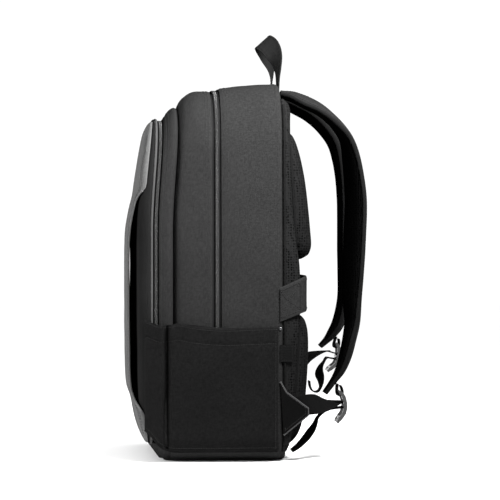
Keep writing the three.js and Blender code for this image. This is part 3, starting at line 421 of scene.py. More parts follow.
body_cloth = material("body_cloth", (0.0018, 0.0018, 0.0018), (0.0115, 0.0115, 0.0115), 0.94, sheen=0.0, weave=0.8,
                      mottle=0.08, speckle=0.2)
# The overlay cloth is several times lighter than the body cloth: painted light standing in for the key light falling on
# the front.
overlay_cloth = material("overlay_cloth", (0.022, 0.022, 0.022), (0.048, 0.048, 0.048), 0.9, sheen=0.0, weave=0.8,
                         mottle=0.08, speckle=0.12, gloss=0.02)
pocket_cloth = material("pocket_cloth", (0.0008, 0.0008, 0.0008), (0.0052, 0.0052, 0.0052), 0.94, sheen=0.0, weave=0.8,
                        mottle=0.1, speckle=0.22)
# The front panel cloth under the overlay is darker than the body cloth: painted shade standing in for the overlay's
# shadow over it.
panel_cloth_painted_shade = material("panel_cloth_painted_shade", (0.0012, 0.0012, 0.0012), (0.007, 0.007, 0.007), 0.95, sheen=0.0, weave=0.8)
lining_cloth = material("lining_cloth", (0.003, 0.003, 0.0031), (0.007, 0.007, 0.0071), 0.95, weave=0.6, wear=0.0)
strap_cloth = material("strap_cloth", (0.0018, 0.0018, 0.0018), (0.0095, 0.0095, 0.0095), 0.94, sheen=0.0, weave=0.8,
                       mottle=0.1, speckle=0.2)
binding = material("binding", (0.0015, 0.0015, 0.0015), (0.004, 0.004, 0.004), 0.88, rib=1.1, wear=0.08)
edge_binding = material("edge_binding", (0.012, 0.012, 0.012), (0.026, 0.026, 0.026), 0.8, rib=1.0, wear=0.2)
zip_tape = material("zip_tape", (0.003, 0.003, 0.003), (0.008, 0.008, 0.0081), 0.9, weave=0.7)
zip_coil = material("zip_coil", (0.002, 0.002, 0.002), (0.005, 0.005, 0.005), 0.4, coat=0.05, heather=0.3, fine=500.0,
                    gloss=0.16)
air_mesh = material("air_mesh", (0.0003, 0.0003, 0.0003), (0.0045, 0.0045, 0.0045), 0.95, sheen=0.0, cells=3.2)
under_mesh = material("under_mesh", (0.0003, 0.0003, 0.0003), (0.0009, 0.0009, 0.0009), 0.98, cells=2.6, gloss=0.0)
wing_cloth = material("wing_cloth", (0.0007, 0.0007, 0.0007), (0.002, 0.002, 0.002), 0.97, weave=0.8, gloss=0.01)
webbing = material("webbing", (0.0008, 0.0008, 0.0008), (0.0035, 0.0035, 0.0035), 0.85, sheen=0.0, rib=1.5, wear=0.08)
handle_webbing = material("handle_webbing", (0.0025, 0.0025, 0.0025), (0.0075, 0.0075, 0.0075), 0.85, sheen=0.0, rib=1.5,
                          wear=0.1)
thread = material("thread", (0.006, 0.006, 0.006), (0.013, 0.013, 0.013), 0.7, heather=0.8)
dark_thread = material("dark_thread", (0.0015, 0.0015, 0.0015), (0.005, 0.005, 0.005), 0.8, heather=0.8)
lock_plastic = material("lock_plastic", (0.005, 0.005, 0.005), (0.009, 0.009, 0.009), 0.26, coat=0.3, heather=0.2,
                        mottle=0.08, wear=0.05, fine=420.0, gloss=0.5)
black_metal = material("black_metal", (0.03, 0.03, 0.031), (0.05, 0.05, 0.052), 0.35, metallic=0.85, heather=0.2,
                       wear=0.5, fine=300.0, gloss=0.5)


# ---- cloth relief in millimetres
def relief(p, seam, size=1.0):
    """Soft dents, long creases, and puckers that fade with the distance from a seam."""
    dents = 0.85 * grain(p.x + 400, p.y * 1.6, p.z, 62) + 0.4 * grain(p.x, p.y * 1.4 + 90, p.z * 1.2, 26)
    crease = 1 - min(abs(grain(p.x * 0.8, p.y * 1.9 + 33, p.z + 0.6 * p.y, 44)) * 3.2, 1)
    pucker = math.exp(-abs(seam) / 5.0) * (0.42 * grain(p.x, 3.0, p.z, 7.5) + 0.2 * grain(p.x + 70, 8.0, p.z, 4))
    return size * (dents - 0.45 * crease ** 3) + pucker


def band_rows(table, start, way, lean, depths):
    """Outer rows of a band of the body: table rows are depth share, inset share and lean share."""
    rows = []
    span = {"rear": MAIN_DEPTH, "middle": MIDDLE_DEPTH, "gusset": GUSSET_DEPTH}[way]
    sign = 1 if way == "rear" else -1
    for share in depths:
        y = start + sign * share * span
        ring = body_ring(y, lookup(table, 1, share) * EDGE, lookup(table, 2, share) * lean)
        calm = math.sin(math.pi * min(max(share, 0), 1)) ** 0.5 if 0 < share < 1 else 0
        seam = min(share, 1 - share) * span
        low = [smooth_step(4, 22, p.z) for p in ring]
        rows.append(push_out(ring, lambda p, i: low[i] * (0.25 + 0.75 * calm) * relief(p, seam, calm)))
    return rows


def with_inside(rows, depth_limit, inset=CLOTH, lean=0.0, way=1):
    """Adds a plain inner face to a band's outer rows."""
    inside = []
    for row in rows[:: max(len(rows) // 6, 1)]:
        inside.append(push_out(row, lambda p, i: -inset))
    return inside


def shares(count, ends=3):
    """Depth shares from 0 to 1, closer together at both ends."""
    return [0.5 - 0.5 * math.cos(math.pi * i / (count - 1)) for i in range(count)]


# ---- main compartment
REAR = [(0, 0.12, 0), (0.012, 0.1, 0), (0.06, 0, 0), (0.45, 0, 0), (0.86, 0, 0), (0.965, 0.06, 0), (1, 0.45, 0)]
MIDDLE = [(0, 0.12, 0), (0.01, 0.1, 0), (0.07, 0, 0), (0.4, 0, 0.3), (0.75, 0.05, 0.8), (0.91, 0.3, 1), (1, 1.1, 1)]
GUSSET = [(0, 0.85, 1), (0.12, 0.25, 1), (0.35, 0, 1), (0.9, 0, 1), (1, 0.1, 1)]


def shell(name, table, start, way, lean, count, replaced, finish):
    outer = band_rows(table, start, way, lean, shares(count))
    first = push_out(outer[0], lambda p, i: -CLOTH)
    last = push_out(outer[-1], lambda p, i: -CLOTH)
    mid = push_out(outer[count // 2], lambda p, i: -CLOTH - 0.6)
    rows = [*outer, last, mid, first]
    return place(name, skin(name, rows, around=True, loop=True, sharp=62), [finish], replaced)


rear = shell("rear_shell_cloth", REAR, 0.0, "rear", 0, 30, ["rear_shell"], body_cloth)
middle = shell("middle_shell_cloth", MIDDLE, MIDDLE_REAR, "middle", LEAN, 26, ["middle_shell"], body_cloth)
gusset = shell("front_gusset_cloth", GUSSET, GUSSET_REAR, "gusset", LEAN, 16, ["front_gusset"], body_cloth)


def wall_disc(name, y, inset, lean, at, finish):
    """Wall closing a band, from its rim to its middle."""
    rows = []
    for k in range(12):
        t = k / 12
        ring = body_ring(y, inset + t * 110, lean, at)
        rows.append([Vector((p.x, p.y + 0.5 * grain(p.x, 5, p.z, 40), p.z)) for p in ring])
    return place(name, skin(name, rows, around=True, caps=True), [finish])


rear_wall = wall_disc("rear_wall_cloth", MAIN_DEPTH - 1.2, 0.55 * EDGE, 0, MAIN_DEPTH, lining_cloth)
middle_wall = wall_disc("middle_wall_cloth", MIDDLE_FRONT + 1.2, 1.2 * EDGE, LEAN, MIDDLE_FRONT, lining_cloth)


def outward(p):
    """Direction into the bag's side, square to its outline."""
    if p.z > HEIGHT - 120 and abs(p.x) < HALF - 20:
        centre = Vector((math.copysign(HALF - TOP_RADIUS, p.x) if abs(p.x) > HALF - TOP_RADIUS else p.x, p.y, HEIGHT - 95))
        return (centre - p).normalized()
    if p.z > HEIGHT - 95:
        centre = Vector((math.copysign(HALF - TOP_RADIUS, p.x), p.y, HEIGHT - 90))
        return (centre - p).normalized()
    return Vector((-math.copysign(1, p.x), 0, 0))


def ring_path(tree, y, lean=0.0, at=None, inset=0.0, lowest=16.0):
    """Path round the body at a depth, laid on a piece and left open at the foot."""
    ring = body_ring(y, inset, lean, at)
    start = COUNTS[0] + COUNTS[1]
    walk = [p for p in ring[start:] if p.z > lowest]
    return drop_on(tree, walk, outward)


rear_tree, middle_tree, gusset_tree = tree_of(rear), tree_of(middle), tree_of(gusset)
stitches("rear_shell_stitches", [
    ring_path(rear_tree, 3.6), ring_path(rear_tree, 7.4), ring_path(rear_tree, MAIN_DEPTH - 5.5),
], thread)
stitches("middle_shell_stitches", [
    ring_path(middle_tree, MIDDLE_REAR - 3.2), ring_path(middle_tree, MIDDLE_REAR - 6.8),
], thread)
stitches("front_gusset_stitches", [
    ring_path(gusset_tree, GUSSET_FRONT + 3.0, LEAN), ring_path(gusset_tree, GUSSET_FRONT + 6.0, LEAN),
], thread)


# ---- zips
def tape(name, rows, replaced):
    outer = [body_ring(*row) for row in rows]
    inner = [body_ring(y, inset + TAPE_WALL, lean, at) for y, inset, lean, at in rows[::-1]]
    mesh = skin(name, [*outer, *inner], around=True, loop=True)
    return place(name, mesh, [zip_tape], replaced)


main_tape = tape("main_zip_tape_cloth", [
    (4.0 - k * (MIDDLE_REAR * -1 + 8.0) / 10, TAPE_INSET, 0, None) for k in range(11)
], ["main_zip_tape"])
front_rows = [(GUSSET_FRONT + 1.4 - k * 0.85, TAPE_INSET, LEAN, GUSSET_FRONT - 1.0 * k) for k in range(9)]
front_rows = [
    (GUSSET_FRONT + 1.4, TAPE_INSET, LEAN, GUSSET_FRONT),
    (GUSSET_FRONT - 2.4, TAPE_INSET, LEAN, GUSSET_FRONT - 3.5),
    (PANEL_RIM + CLEAR + 2 * PIPING, TAPE_INSET, LEAN, PANEL_RIM),
    (PANEL_RIM + CLEAR + 1.2, TAPE_INSET - 0.7, LEAN, PANEL_RIM),
    (PANEL_RIM + CLEAR, 2 * PIPING, LEAN, PANEL_RIM),
]
front_tape = tape("front_zip_tape_cloth", front_rows, ["front_zip_tape"])


def coil(name, centre, lean, replaced, width=4.4, pitch=1.75):
    """Coil teeth: short round bars across the tape, in two rows that meet in the middle."""
    base = TAPE_INSET - 1.0 - 0.45
    ring = body_ring(centre, base, lean)
    start = COUNTS[0] + COUNTS[1]
    path = [p for p in ring[start:] if p.z > 152]
    lifted = []
    for i, p in enumerate(path):
        d = (path[min(i + 1, len(path) - 1)] - path[max(i - 1, 0)]).normalized()
        lifted.append((p, Vector((d.z, 0, -d.x)).normalized()))
    verts, faces = [], []
    sides, radius = 6, 0.62
    for number, (point, along, normal) in enumerate(resample(lifted, pitch)):
        for half in (-1, 1):
            across = along.cross(normal).normalized() * half
            shift = along * (0.45 * pitch if half > 0 else 0)
            base_index = len(verts)
            for t, lift, r in ((-0.35, 0.35, 0.75), (0.2, 0.75, 1.0), (0.75, 0.75, 1.0), (1.0, 0.1, 0.8)):
                middle_point = point + shift + across * (t * width / 2) + normal * (lift + 0.5)
                for k in range(sides):
                    a = 2 * math.pi * k / sides
                    verts.append((middle_point + radius * r * (along * math.cos(a) + normal * math.sin(a))) * MM)
            for ring_number in range(3):
                for k in range(sides):
                    n = (k + 1) % sides
                    at = base_index + ring_number * sides
                    faces.append((at + k, at + n, at + sides + n, at + sides + k))
            faces.append(tuple(base_index + k for k in range(sides)))
            faces.append(tuple(base_index + 3 * sides + k for k in range(sides)))
    mesh = bpy.data.meshes.new(name)
    mesh.from_pydata([tuple(v) for v in verts], [], faces)
    bm = bmesh.new()
    bm.from_mesh(mesh)
    bmesh.ops.recalc_face_normals(bm, faces=bm.faces)
    bm.to_mesh(mesh)
    bm.free()
    mesh.shade_smooth()
    return place(name, mesh, [zip_coil], replaced)


coil("main_zip_teeth", MIDDLE_REAR / 2, 0, ["main_zip_coil"])
coil("front_zip_teeth", GUSSET_FRONT - 0.36 * 10.5, LEAN, ["front_zip_coil"])

piping_path = body_ring(PANEL_RIM + CLEAR + PIPING, 0.4 * PIPING, LEAN, PANEL_RIM)
piping_mesh = tube("front_piping_cord", piping_path, PIPING * 0.98, sides=10, closed=True)
place("front_piping_cord", piping_mesh, [edge_binding], ["front_piping"])


# ---- front panel and overlay
PROFILE = [
    (PANEL_BOTTOM / HEIGHT, 0.03), (0.065, 0.22), (0.1, 0.58), (0.135, 0.82), (0.2, 0.93), (0.3, 0.97), (0.45, 1),
    (0.58, 1), (0.66, 0.97), (0.74, 0.86), (0.8, 0.7), (0.86, 0.42), (0.9, 0.1),
]
PANEL_TOP, PANEL_HALF = HEIGHT - FRONT_DROP, HALF - FRONT_SLIM


# height, cut into the side, opening behind
OVERLAY = [
    (0.052, 0, 0), (0.075, 0, 0), (0.1, 0, 0), (0.13, 0.03, 0), (0.15, 0.22, 0.12), (0.165, 0.5, 0.35),
    (0.19, 0.72, 0.8), (0.25, 0.84, 1), (0.34, 0.93, 1), (0.45, 1, 1), (0.54, 0.96, 1), (0.6, 0.78, 0.9),
    (0.645, 0.6, 0.6), (0.68, 0.38, 0.3), (0.7, 0.18, 0.1), (0.715, 0.02, 0), (0.76, 0, 0), (0.896, 0, 0),
]


def shoulder_share(distance):
    t = min(max(distance / PANEL_SHOULDER, 0), 1)
    return math.sqrt(1 - (1 - t) ** 2)


def panel_y(share, x, z):
    bulge = PANEL_BULGE * lookup(PROFILE, 1, z / HEIGHT)
    rim = PANEL_RIM + LEAN * smooth_step(0.6 * HEIGHT, PANEL_TOP, z)
    return rim - share * (bulge + PANEL_CROWN * (1 - (x / HALF) ** 2))


def fullness(p):
    """How far the panel's cloth stands forward at its middle, behind the overlay."""
    opened = min(max(lookup(OVERLAY, 2, p.z / HEIGHT), 0), 1)
    return (SLIP_GAP + 0.7) * opened * math.exp(-(p.x / 42) ** 4)


def front_panel():
    rows = []
    steps = [0, 0.02, 0.05, 0.1, 0.18, 0.28, 0.4, 0.55, 0.72, 0.88, 1, 1.3, 1.8, 2.5, 3.5, 5, 6.5]
    for wall in (0, 1):
        surface = []
        for step in steps if wall == 0 else steps[::4]:
            inset = step * PANEL_SHOULDER
            share = shoulder_share(inset)
            ring = body_ring(0, inset + wall * CLOTH, 0, PANEL_RIM)
            surface.append([
                Vector((p.x, panel_y(share, p.x, p.z) + wall * CLOTH * share
                        + (0.0 if wall else 0.5 * share * relief(p, inset) - fullness(p)), p.z)) for p in ring
            ])
        rows.append(surface)
    mesh = skin("front_panel_cloth", [*rows[0][::-1], *rows[1]], around=True, caps=True, sharp=62)
    return place("front_panel_cloth", mesh, [panel_cloth_painted_shade], ["front_panel"])


front_panel()

def panel_distance(x, z):
    upper = z > HEIGHT / 2
    radius = TOP_RADIUS if upper else FOOT_RADIUS
    along = z - (PANEL_TOP - radius) if upper else PANEL_BOTTOM + radius - z
    across = abs(x) / flare(z, PANEL_BOTTOM, PANEL_TOP) - (PANEL_HALF - radius)
    outside = math.hypot(max(across, 0), max(along, 0))
    return radius - outside - min(max(across, along), 0)


def overlay_point(z, u, lift):
    """Point of the overlay at a height, u from -1 to 1 across, lift from its back."""
    share_z = z / HEIGHT
    edge = edge_at(z, PANEL_HALF, PANEL_BOTTOM, PANEL_TOP)
    cut = min(max(lookup(OVERLAY, 1, share_z), 0), 1)
    opened = min(max(lookup(OVERLAY, 2, share_z), 0), 1)
    half = (edge - cut * SLIP_CUT) * (1 - 0.08 * PANEL_SHOULDER / edge)
    x = half * u
    gap = OVERLAY_LAY + SLIP_GAP * opened
    share = shoulder_share(panel_distance(x, z))
    return Vector((x, panel_y(share, x, z) - gap - lift, z))


overlay_us = sorted({round(s * v, 5) for s in (-1, 1) for v in
                     [0, 0.05, 0.1, 0.16, 0.22, 0.28, 0.34, 0.4, 0.46, 0.52, 0.58, 0.64, 0.69, 0.74, 0.79, 0.83,
                      0.865, 0.895, 0.92, 0.94, 0.955, 0.968, 0.978, 0.986, 0.993, 0.998, 1.0]})
overlay_zs = [(0.052 + (0.896 - 0.052) * (0.5 - 0.5 * math.cos(math.pi * k / 92))) * HEIGHT for k in range(93)]


def overlay():
    rows = []
    for z in overlay_zs:
        rounded = min(z - overlay_zs[0], overlay_zs[-1] - z)
        thin = min(rounded / 2.0, 1.0) ** 0.5 * 0.8 + 0.2
        front = []
        for u in overlay_us:
            p = overlay_point(z, u, OVERLAY_WALL)
            near = (1 - abs(u)) * PANEL_HALF
            hem = 0.35 * (1 - smooth_step(3.5, 6.0, near)) - 0.35
            slim = (1 - min(near / 1.6, 1)) ** 2 * 0.9
            swell = 0.55 * relief(p, near, 1.0) + hem
            front.append(Vector((p.x, p.y - swell * thin + slim + (1 - thin) * 1.2, p.z)))
        back = [overlay_point(z, u, 0.0) for u in overlay_us[::-1]]
        back = [Vector((p.x, p.y - 0.1, p.z)) for p in back]
        rows.append([*front, *back])
    mesh = skin("front_overlay_cloth", rows, around=True, caps=True, sharp=70)
    return place("front_overlay_cloth", mesh, [overlay_cloth], ["front_overlay"])


front_cover = overlay()
cover_tree = tree_of(front_cover)
BACKWARDS = Vector((0, 1, 0))


def cover_path(side, inset, low, high, count=150):
    points = []
    for k in range(count + 1):
        z = HEIGHT * (low + (high - low) * k / count)
        edge = edge_at(z, PANEL_HALF, PANEL_BOTTOM, PANEL_TOP)
        points.append(overlay_point(z, side * (1 - inset / edge), 12))
    return drop_on(cover_tree, points, BACKWARDS)


stitches("front_overlay_stitches", [
    cover_path(side, inset, 0.075, 0.86) for side in (-1, 1) for inset in (3.4, 6.6)
], thread)
for name, side in SIDES.items():
    edge_path = [overlay_point(HEIGHT * (0.135 + 0.575 * k / 90), side * 0.998, 1.1) for k in range(91)]
    cord_mesh = tube(f"front_overlay_edge_{name}", edge_path, 1.25, sides=8)
    place(f"front_overlay_edge_{name}", cord_mesh, [overlay_cloth])


# ---- base
def plan_ring(z, half, front, rear_y, radius, count=8, straight=12):
    points = []
    corners = [(half - radius, rear_y - radius, 0), (radius - half, rear_y - radius, 1),
               (radius - half, front + radius, 2), (half - radius, front + radius, 3)]
    for number, (cx, cy, quarter) in enumerate(corners):
        for i in range(count + 1):
            a = math.pi / 2 * (quarter + i / count)
            points.append(Vector((cx + radius * math.cos(a), cy + radius * math.sin(a), z)))
        nx, ny, nq = corners[(number + 1) % 4]
        a = math.pi / 2 * nq
        end = Vector((nx + radius * math.cos(a), ny + radius * math.sin(a), z))
        begin = points[-1]
        points += [begin.lerp(end, k / straight) for k in range(1, straight)]
    return points


def base():
    front, back = GUSSET_FRONT + 5, MAIN_DEPTH + 7
    half = HALF - FOOT_RADIUS + 4
    rows = [plan_ring(z, half - draw, front + draw * 0.5, back - draw, 22) for z, draw in
            ((0, 40), (0, 6), (0.2, 5), (0.6, 4.2), (1.2, 3.2), (1.9, 2.2), (2.6, 1.5), (2.9, 1.2), (3.0, 1.2), (3.0, 40))]
    mesh = skin("base_panel_cloth", rows, around=True, caps=True, sharp=60)
    return place("base_panel_cloth", mesh, [body_cloth], ["base_panel"])


base()


def base_band():
    """Cloth band round the foot, under the side pockets; its front leans up to the front panel."""
    def ring(share, lift):
        row = []
        for p in plan_ring(0, rear_edge(3.1 + 9.7 * share) + lift, GUSSET_FRONT + 4.6 - lift, MAIN_DEPTH + 4.6 + lift, 20):
            fore = smooth_step(-58, -70, p.y)
            z = 3.0 + share * (9.7 + 12.5 * fore)
            x = p.x - math.copysign(min(6.5 * fore, abs(p.x)), p.x) * share
            row.append(Vector((x, p.y - 0.72 * z * fore, z + 0.25 * grain(p.x, p.y, 7, 20))))
        return row
    outer = [ring(k / 9, 0.9) for k in range(10)]
    inner = [ring(share, 0.1) for share in (0.97, 0.7, 0.4, 0.03)]
    mesh = skin("base_band_cloth", [*outer, *inner], around=True, loop=True, sharp=60)
    place("base_band_cloth", mesh, [body_cloth])
    seam = tube("base_band_seam", ring(1.0, 0.9), 0.75, sides=6, closed=True)
    place("base_band_seam", seam, [binding])


base_band()

# ---- back panel
BACK = [
    (0.028, 0.25), (0.05, 0.42), (0.1, 0.58), (0.18, 0.66), (0.28, 0.8), (0.36, 0.93), (0.44, 1), (0.52, 0.93),
    (0.6, 0.7), (0.7, 0.55), (0.8, 0.46), (0.88, 0.46), (0.925, 0.5), (0.945, 0.36), (0.955, 0.14),
]


def back_y(z):
    return BACK_FRONT + BACK_DEPTH * lookup(BACK, 1, z / HEIGHT)


def back_panel():
    rows = []
    us = [math.copysign(1 - (1 - abs(k / 40)) ** 1.35, k) for k in range(-40, 41)]
    for k in range(100):
        z = HEIGHT * (0.028 + (0.955 - 0.028) * (0.5 - 0.5 * math.cos(math.pi * k / 99)))
        half = rear_edge(z) - 2.0
        depth = back_y(z) - BACK_FRONT
        outer = []
        for u in us:
            d = min(half * (1 - abs(u)) / BACK_EDGE, 1)
            rounded = 0.35 + 0.65 * math.sqrt(1 - (1 - d) ** 2)
            p = Vector((half * u, BACK_FRONT + depth * rounded, z))
            channel = 1.6 * math.exp(-(p.x / 7.0) ** 2) * smooth_step(30, 70, z) * (1 - smooth_step(370, 410, z))
            puff = 0.45 * relief(p, half * (1 - abs(u))) * min(depth / 8, 1)
            outer.append(Vector((p.x, min(p.y + puff, p.y + 0.9) - channel, z)))
        inner = [Vector((half * u, BACK_FRONT, z)) for u in us[::-1]]
        rows.append([*outer, *inner])
    mesh = skin("back_panel_mesh", rows, around=True, caps=True, sharp=70)
    return place("back_panel_mesh", mesh, [air_mesh], ["back_panel"])


board = back_panel()
board_tree = tree_of(board)
for name, side in SIDES.items():
    rim = [Vector((side * (rear_edge(z) - 1.4), BACK_FRONT + 2.1, z)) for z in range(24, 436, 4)]
    place(f"back_seam_binding_{name}", tube(f"back_seam_binding_{name}", rim, 1.5), [binding])

# ---- back pads, filled out by a short cloth simulation
PADS = {
    "upper": [(0.53, 0.3, 0.5), (0.54, 0.72, 0.7), (0.565, 0.98, 0.87), (0.61, 1, 0.97), (0.67, 0.98, 1),
              (0.74, 0.9, 0.98), (0.8, 0.72, 0.9), (0.845, 0.48, 0.74), (0.87, 0.24, 0.5)],
    "lower": [(0.036, 0.2, 0.62), (0.055, 0.62, 0.8), (0.09, 0.86, 0.92), (0.16, 1, 1), (0.24, 1.02, 1),
              (0.31, 0.95, 0.98), (0.355, 0.78, 0.9), (0.378, 0.5, 0.76), (0.387, 0.22, 0.6)],
}


def pad_surface(level, side, u, z_share, shrink=0.0):
    table = PADS[level]
    z = z_share * HEIGHT
    width = lookup(table, 2, z_share) * PAD_WIDTH / 2 - shrink
    rise = max(lookup(table, 1, z_share), 0.05) * PAD_RISE[level] - shrink
    rounded = max((1 - abs(u) ** 3.2), 0) ** 0.5
    return Vector((side * PAD_SPREAD + width * u, back_y(z) + CLEAR + max(rise * rounded, 0.6), z))


def puff(obj, cap, pinned_y):
    """Fills a pad out by a short cloth simulation; no point moves further than cap or behind the board."""
    grid = obj.modifiers.new("grid", "REMESH")
    grid.mode = "VOXEL"
    grid.voxel_size = 5 * MM
    depsgraph = bpy.context.evaluated_depsgraph_get()
    mesh = bpy.data.meshes.new_from_object(obj.evaluated_get(depsgraph))
    obj.modifiers.clear()
    obj.data = mesh
    start = [v.co.copy() for v in mesh.vertices]
    pins = obj.vertex_groups.new(name="pins")
    pins.add([i for i, p in enumerate(start) if p.y < pinned_y(p.z) + 2.5 * MM], 1.0, "REPLACE")
    cloth = obj.modifiers.new("fill", "CLOTH")
    cloth.settings.use_pressure = True
    cloth.settings.uniform_pressure_force = 4.0
    cloth.settings.effector_weights.gravity = 0.0
    cloth.settings.vertex_group_mass = "pins"
    cloth.settings.quality = 5
    cloth.point_cache.frame_end = 20
    scene = bpy.context.scene
    for number in range(1, 21):
        scene.frame_set(number)
    depsgraph = bpy.context.evaluated_depsgraph_get()
    moved = [v.co.copy() for v in obj.evaluated_get(depsgraph).to_mesh().vertices]
    obj.evaluated_get(depsgraph).to_mesh_clear()
    obj.modifiers.clear()
    scene.frame_set(1)
    for vertex, a, b in zip(mesh.vertices, start, moved):
        step = b - a
        if step.length > cap:
            step = step.normalized() * cap
        vertex.co = a + step
        vertex.co.y = max(vertex.co.y, min(a.y, pinned_y(a.z) + 0.4 * MM))
    obj.vertex_groups.clear()
    smooth = obj.modifiers.new("smooth", "SUBSURF")
    smooth.levels = smooth.render_levels = 1
    depsgraph = bpy.context.evaluated_depsgraph_get()
    mesh = bpy.data.meshes.new_from_object(obj.evaluated_get(depsgraph))
    obj.modifiers.clear()
    obj.data = mesh
    mesh.shade_smooth()
    return obj


for level, table in PADS.items():
    for name, side in SIDES.items():
        rows = []
        for k in range(31):
            share = table[0][0] + (table[-1][0] - table[0][0]) * k / 30
            across = [-1 + 2 * i / 24 for i in range(25)]
            top = [pad_surface(level, side, u, share, 1.0) for u in across]
            under = [Vector((p.x, back_y(p.z) + CLEAR, p.z)) for p in top[::-1]]
            rows.append([*top, *under])
        label = f"{level}_pad_mesh_{name}"
        pad = place(label, skin(label, rows, around=True, caps=True), [air_mesh],
                    [f"{level}_pad_{name}"])
        puff(pad, 3.0 * MM, lambda z: (back_y(z / MM) + CLEAR) * MM)
        edge = []
        for k in range(121):
            a = 2 * math.pi * k / 120
            share = (table[0][0] + table[-1][0]) / 2 + 0.485 * (table[-1][0] - table[0][0]) * math.sin(a)
            half = lookup(table, 2, share) * PAD_WIDTH / 2 - 2.2
            z = share * HEIGHT
            u = max(-1, min(1, math.cos(a) * 1.6))
            edge.append(Vector((side * PAD_SPREAD + half * u, back_y(z) + CLEAR + 1.8, z)))
        rim = tube(f"{level}_pad_rim_{name}", edge[:-1], 1.7, sides=8, closed=True)
        place(f"{level}_pad_rim_{name}", rim, [binding])


# ---- swept straps
def centripetal(points, t):
    """Point on the curve through the points, as in the part's source."""
    last = len(points) - 1
    p = last * t
    i = min(int(math.floor(p)), last - 1)
    w = p - i
    p1, p2 = points[i], points[i + 1]
    p0 = points[i - 1] if i > 0 else p1 * 2 - p2
    p3 = points[i + 2] if i + 2 <= last else p2 * 2 - p1
    d0, d1, d2 = ((b - a).length ** 0.5 for a, b in ((p0, p1), (p1, p2), (p2, p3)))
    d1 = d1 if d1 > 1e-4 else 1.0
    d0 = d0 if d0 > 1e-4 else d1
    d2 = d2 if d2 > 1e-4 else d1
    start = ((p1 - p0) / d0 - (p2 - p0) / (d0 + d1) + (p2 - p1) / d1) * d1
    end = ((p2 - p1) / d1 - (p3 - p1) / (d1 + d2) + (p3 - p2) / d2) * d1
    return (((p1 * 2 - p2 * 2 + start + end) * w + p2 * 3 - p1 * 3 - start * 2 - end) * w + start) * w + p1


def frames(rows, samples, width, wall):
    """Places along a strap: point, direction across, direction out, half width and half thickness.
    Rows are x, y, z, width share, thickness share and turn in degrees."""
    points = [Vector(row[:3]) for row in rows]
    keyed = [(k, row[3], row[4], row[5]) for k, row in enumerate(rows)]
    made = []
    for i in range(samples + 1):
        t = i / samples
        key = t * (len(rows) - 1)
        tangent = (centripetal(points, min(t + 1e-4, 1)) - centripetal(points, max(t - 1e-4, 0))).normalized()
        across = (Vector((1, 0, 0)) - tangent * tangent.x).normalized()
        across = Matrix.Rotation(math.radians(lookup(keyed, 3, key)), 3, tangent) @ across
        out = tangent.cross(across).normalized()
        made.append((centripetal(points, t), across, out, width * lookup(keyed, 1, key) / 2,
                     wall * lookup(keyed, 2, key) / 2))
    return made


def sweep(name, places, section, paint=None, sharp=60):
    """Skin over sections placed along a strap; section(half, thick, t) gives its points."""
    rows = []
    last = len(places) - 1
    for i, (point, across, out, half, thick) in enumerate(places):
        rows.append([point + across * a + out * b for a, b in section(half, thick, i / last)])
    return skin(name, rows, around=True, caps=True, paint=paint, sharp=sharp)


def flat_section(half, thick, t):
    """Webbing: a flat band with rounded edges."""
    r = min(thick, 0.8)
    face = [-half + r, *[half * (-0.92 + 0.23 * k) for k in range(9)], half - r]
    top = [(a, thick) for a in face]
    return [*[(a, -thick) for a in face], (half - 0.2 * r, -0.5 * thick), (half, 0), (half - 0.2 * r, 0.5 * thick),
            *top[::-1], (0.2 * r - half, 0.5 * thick), (-half, 0), (0.2 * r - half, -0.5 * thick)]


# out, up, across, width, thickness, turn
STRAP_TOP = [
    (0.0415, 0.9745, 0, 0.8, 0.7, 0), (0.18, 0.969, 0.012, 0.86, 0.9, 0.35), (0.34, 0.953, 0.1, 0.95, 1, 0.65),
    (0.52, 0.931, 0.18, 1, 1, 0.55), (0.695, 0.897, 0.26, 1, 1, 0.3), (0.825, 0.858, 0.33, 1, 1, 0),
    (0.9, 0.81, 0.41, 1, 1, -0.5), (0.946, 0.75, 0.49, 1, 1, -0.8), (0.97, 0.685, 0.57, 1, 1, -0.95),
]
STRAP_FEET = {
    "right": [
        (0.954, 0.593, 0.68, 0.98, 1, -1), (0.929, 0.5, 0.78, 0.95, 1, -0.95), (0.904, 0.422, 0.86, 0.92, 1, -0.75),
        (0.89, 0.365, 0.91, 0.9, 1, -0.35), (0.847, 0.322, 0.95, 0.88, 1, -0.1), (0.785, 0.27, 0.98, 0.8, 0.94, 0),
        (0.727, 0.237, 1, 0.68, 0.76, 0), (0.65, 0.21, 1, 0.54, 0.5, 0), (0.54, 0.176, 1, 0.42, 0.4, 0),
    ],
    "left": [
        (0.977, 0.593, 0.68, 0.98, 1, -1), (0.988, 0.5, 0.78, 0.95, 1, -0.95), (0.99, 0.43, 0.83, 0.92, 1, -0.75),
        (0.965, 0.385, 0.88, 0.9, 1, -0.35), (0.915, 0.345, 0.92, 0.86, 1, -0.1), (0.84, 0.318, 0.95, 0.76, 0.8, 0),
        (0.768, 0.298, 0.97, 0.58, 0.55, 0), (0.69, 0.2815, 0.97, 0.42, 0.4, 0),
    ],
}
STRAP_TWIST = {"right": 15.0, "left": 3.0}
STRAP_HINGE = 0.37
STRAP_SECTION = 14


def strap_section(half, thick, t):
    """Padded strap: a crowned outer face, a bound edge at each side, and a fuller under face."""
    edge = min(2.4, thick)
    upper, lower = [], []
    for k in range(STRAP_SECTION + 1):
        u = -1 + 2 * k / STRAP_SECTION
        crown = max(1 - abs(u) ** 3.0, 0) ** 0.6
        a = (half - edge) * u
        upper.append((a, edge * 0.55 + (thick - edge * 0.55) * crown))
        lower.append((a, -edge * 0.55 - (thick - edge * 0.55) * crown))
    lip = [(half - 0.55 * edge, 0.95 * edge), (half - 0.1 * edge, 0.6 * edge), (half, 0),
           (half - 0.1 * edge, -0.6 * edge), (half - 0.55 * edge, -0.95 * edge)]
    left_lip = [(-a, -b) for a, b in lip]
    return [*upper, *lip, *lower[::-1], *left_lip]


def strap_paint(i, r):
    count = STRAP_SECTION + 1
    if i < count - 1:
        return 0
    if i < count + 5 or i >= 2 * count + 4:
        return 1
    return 2


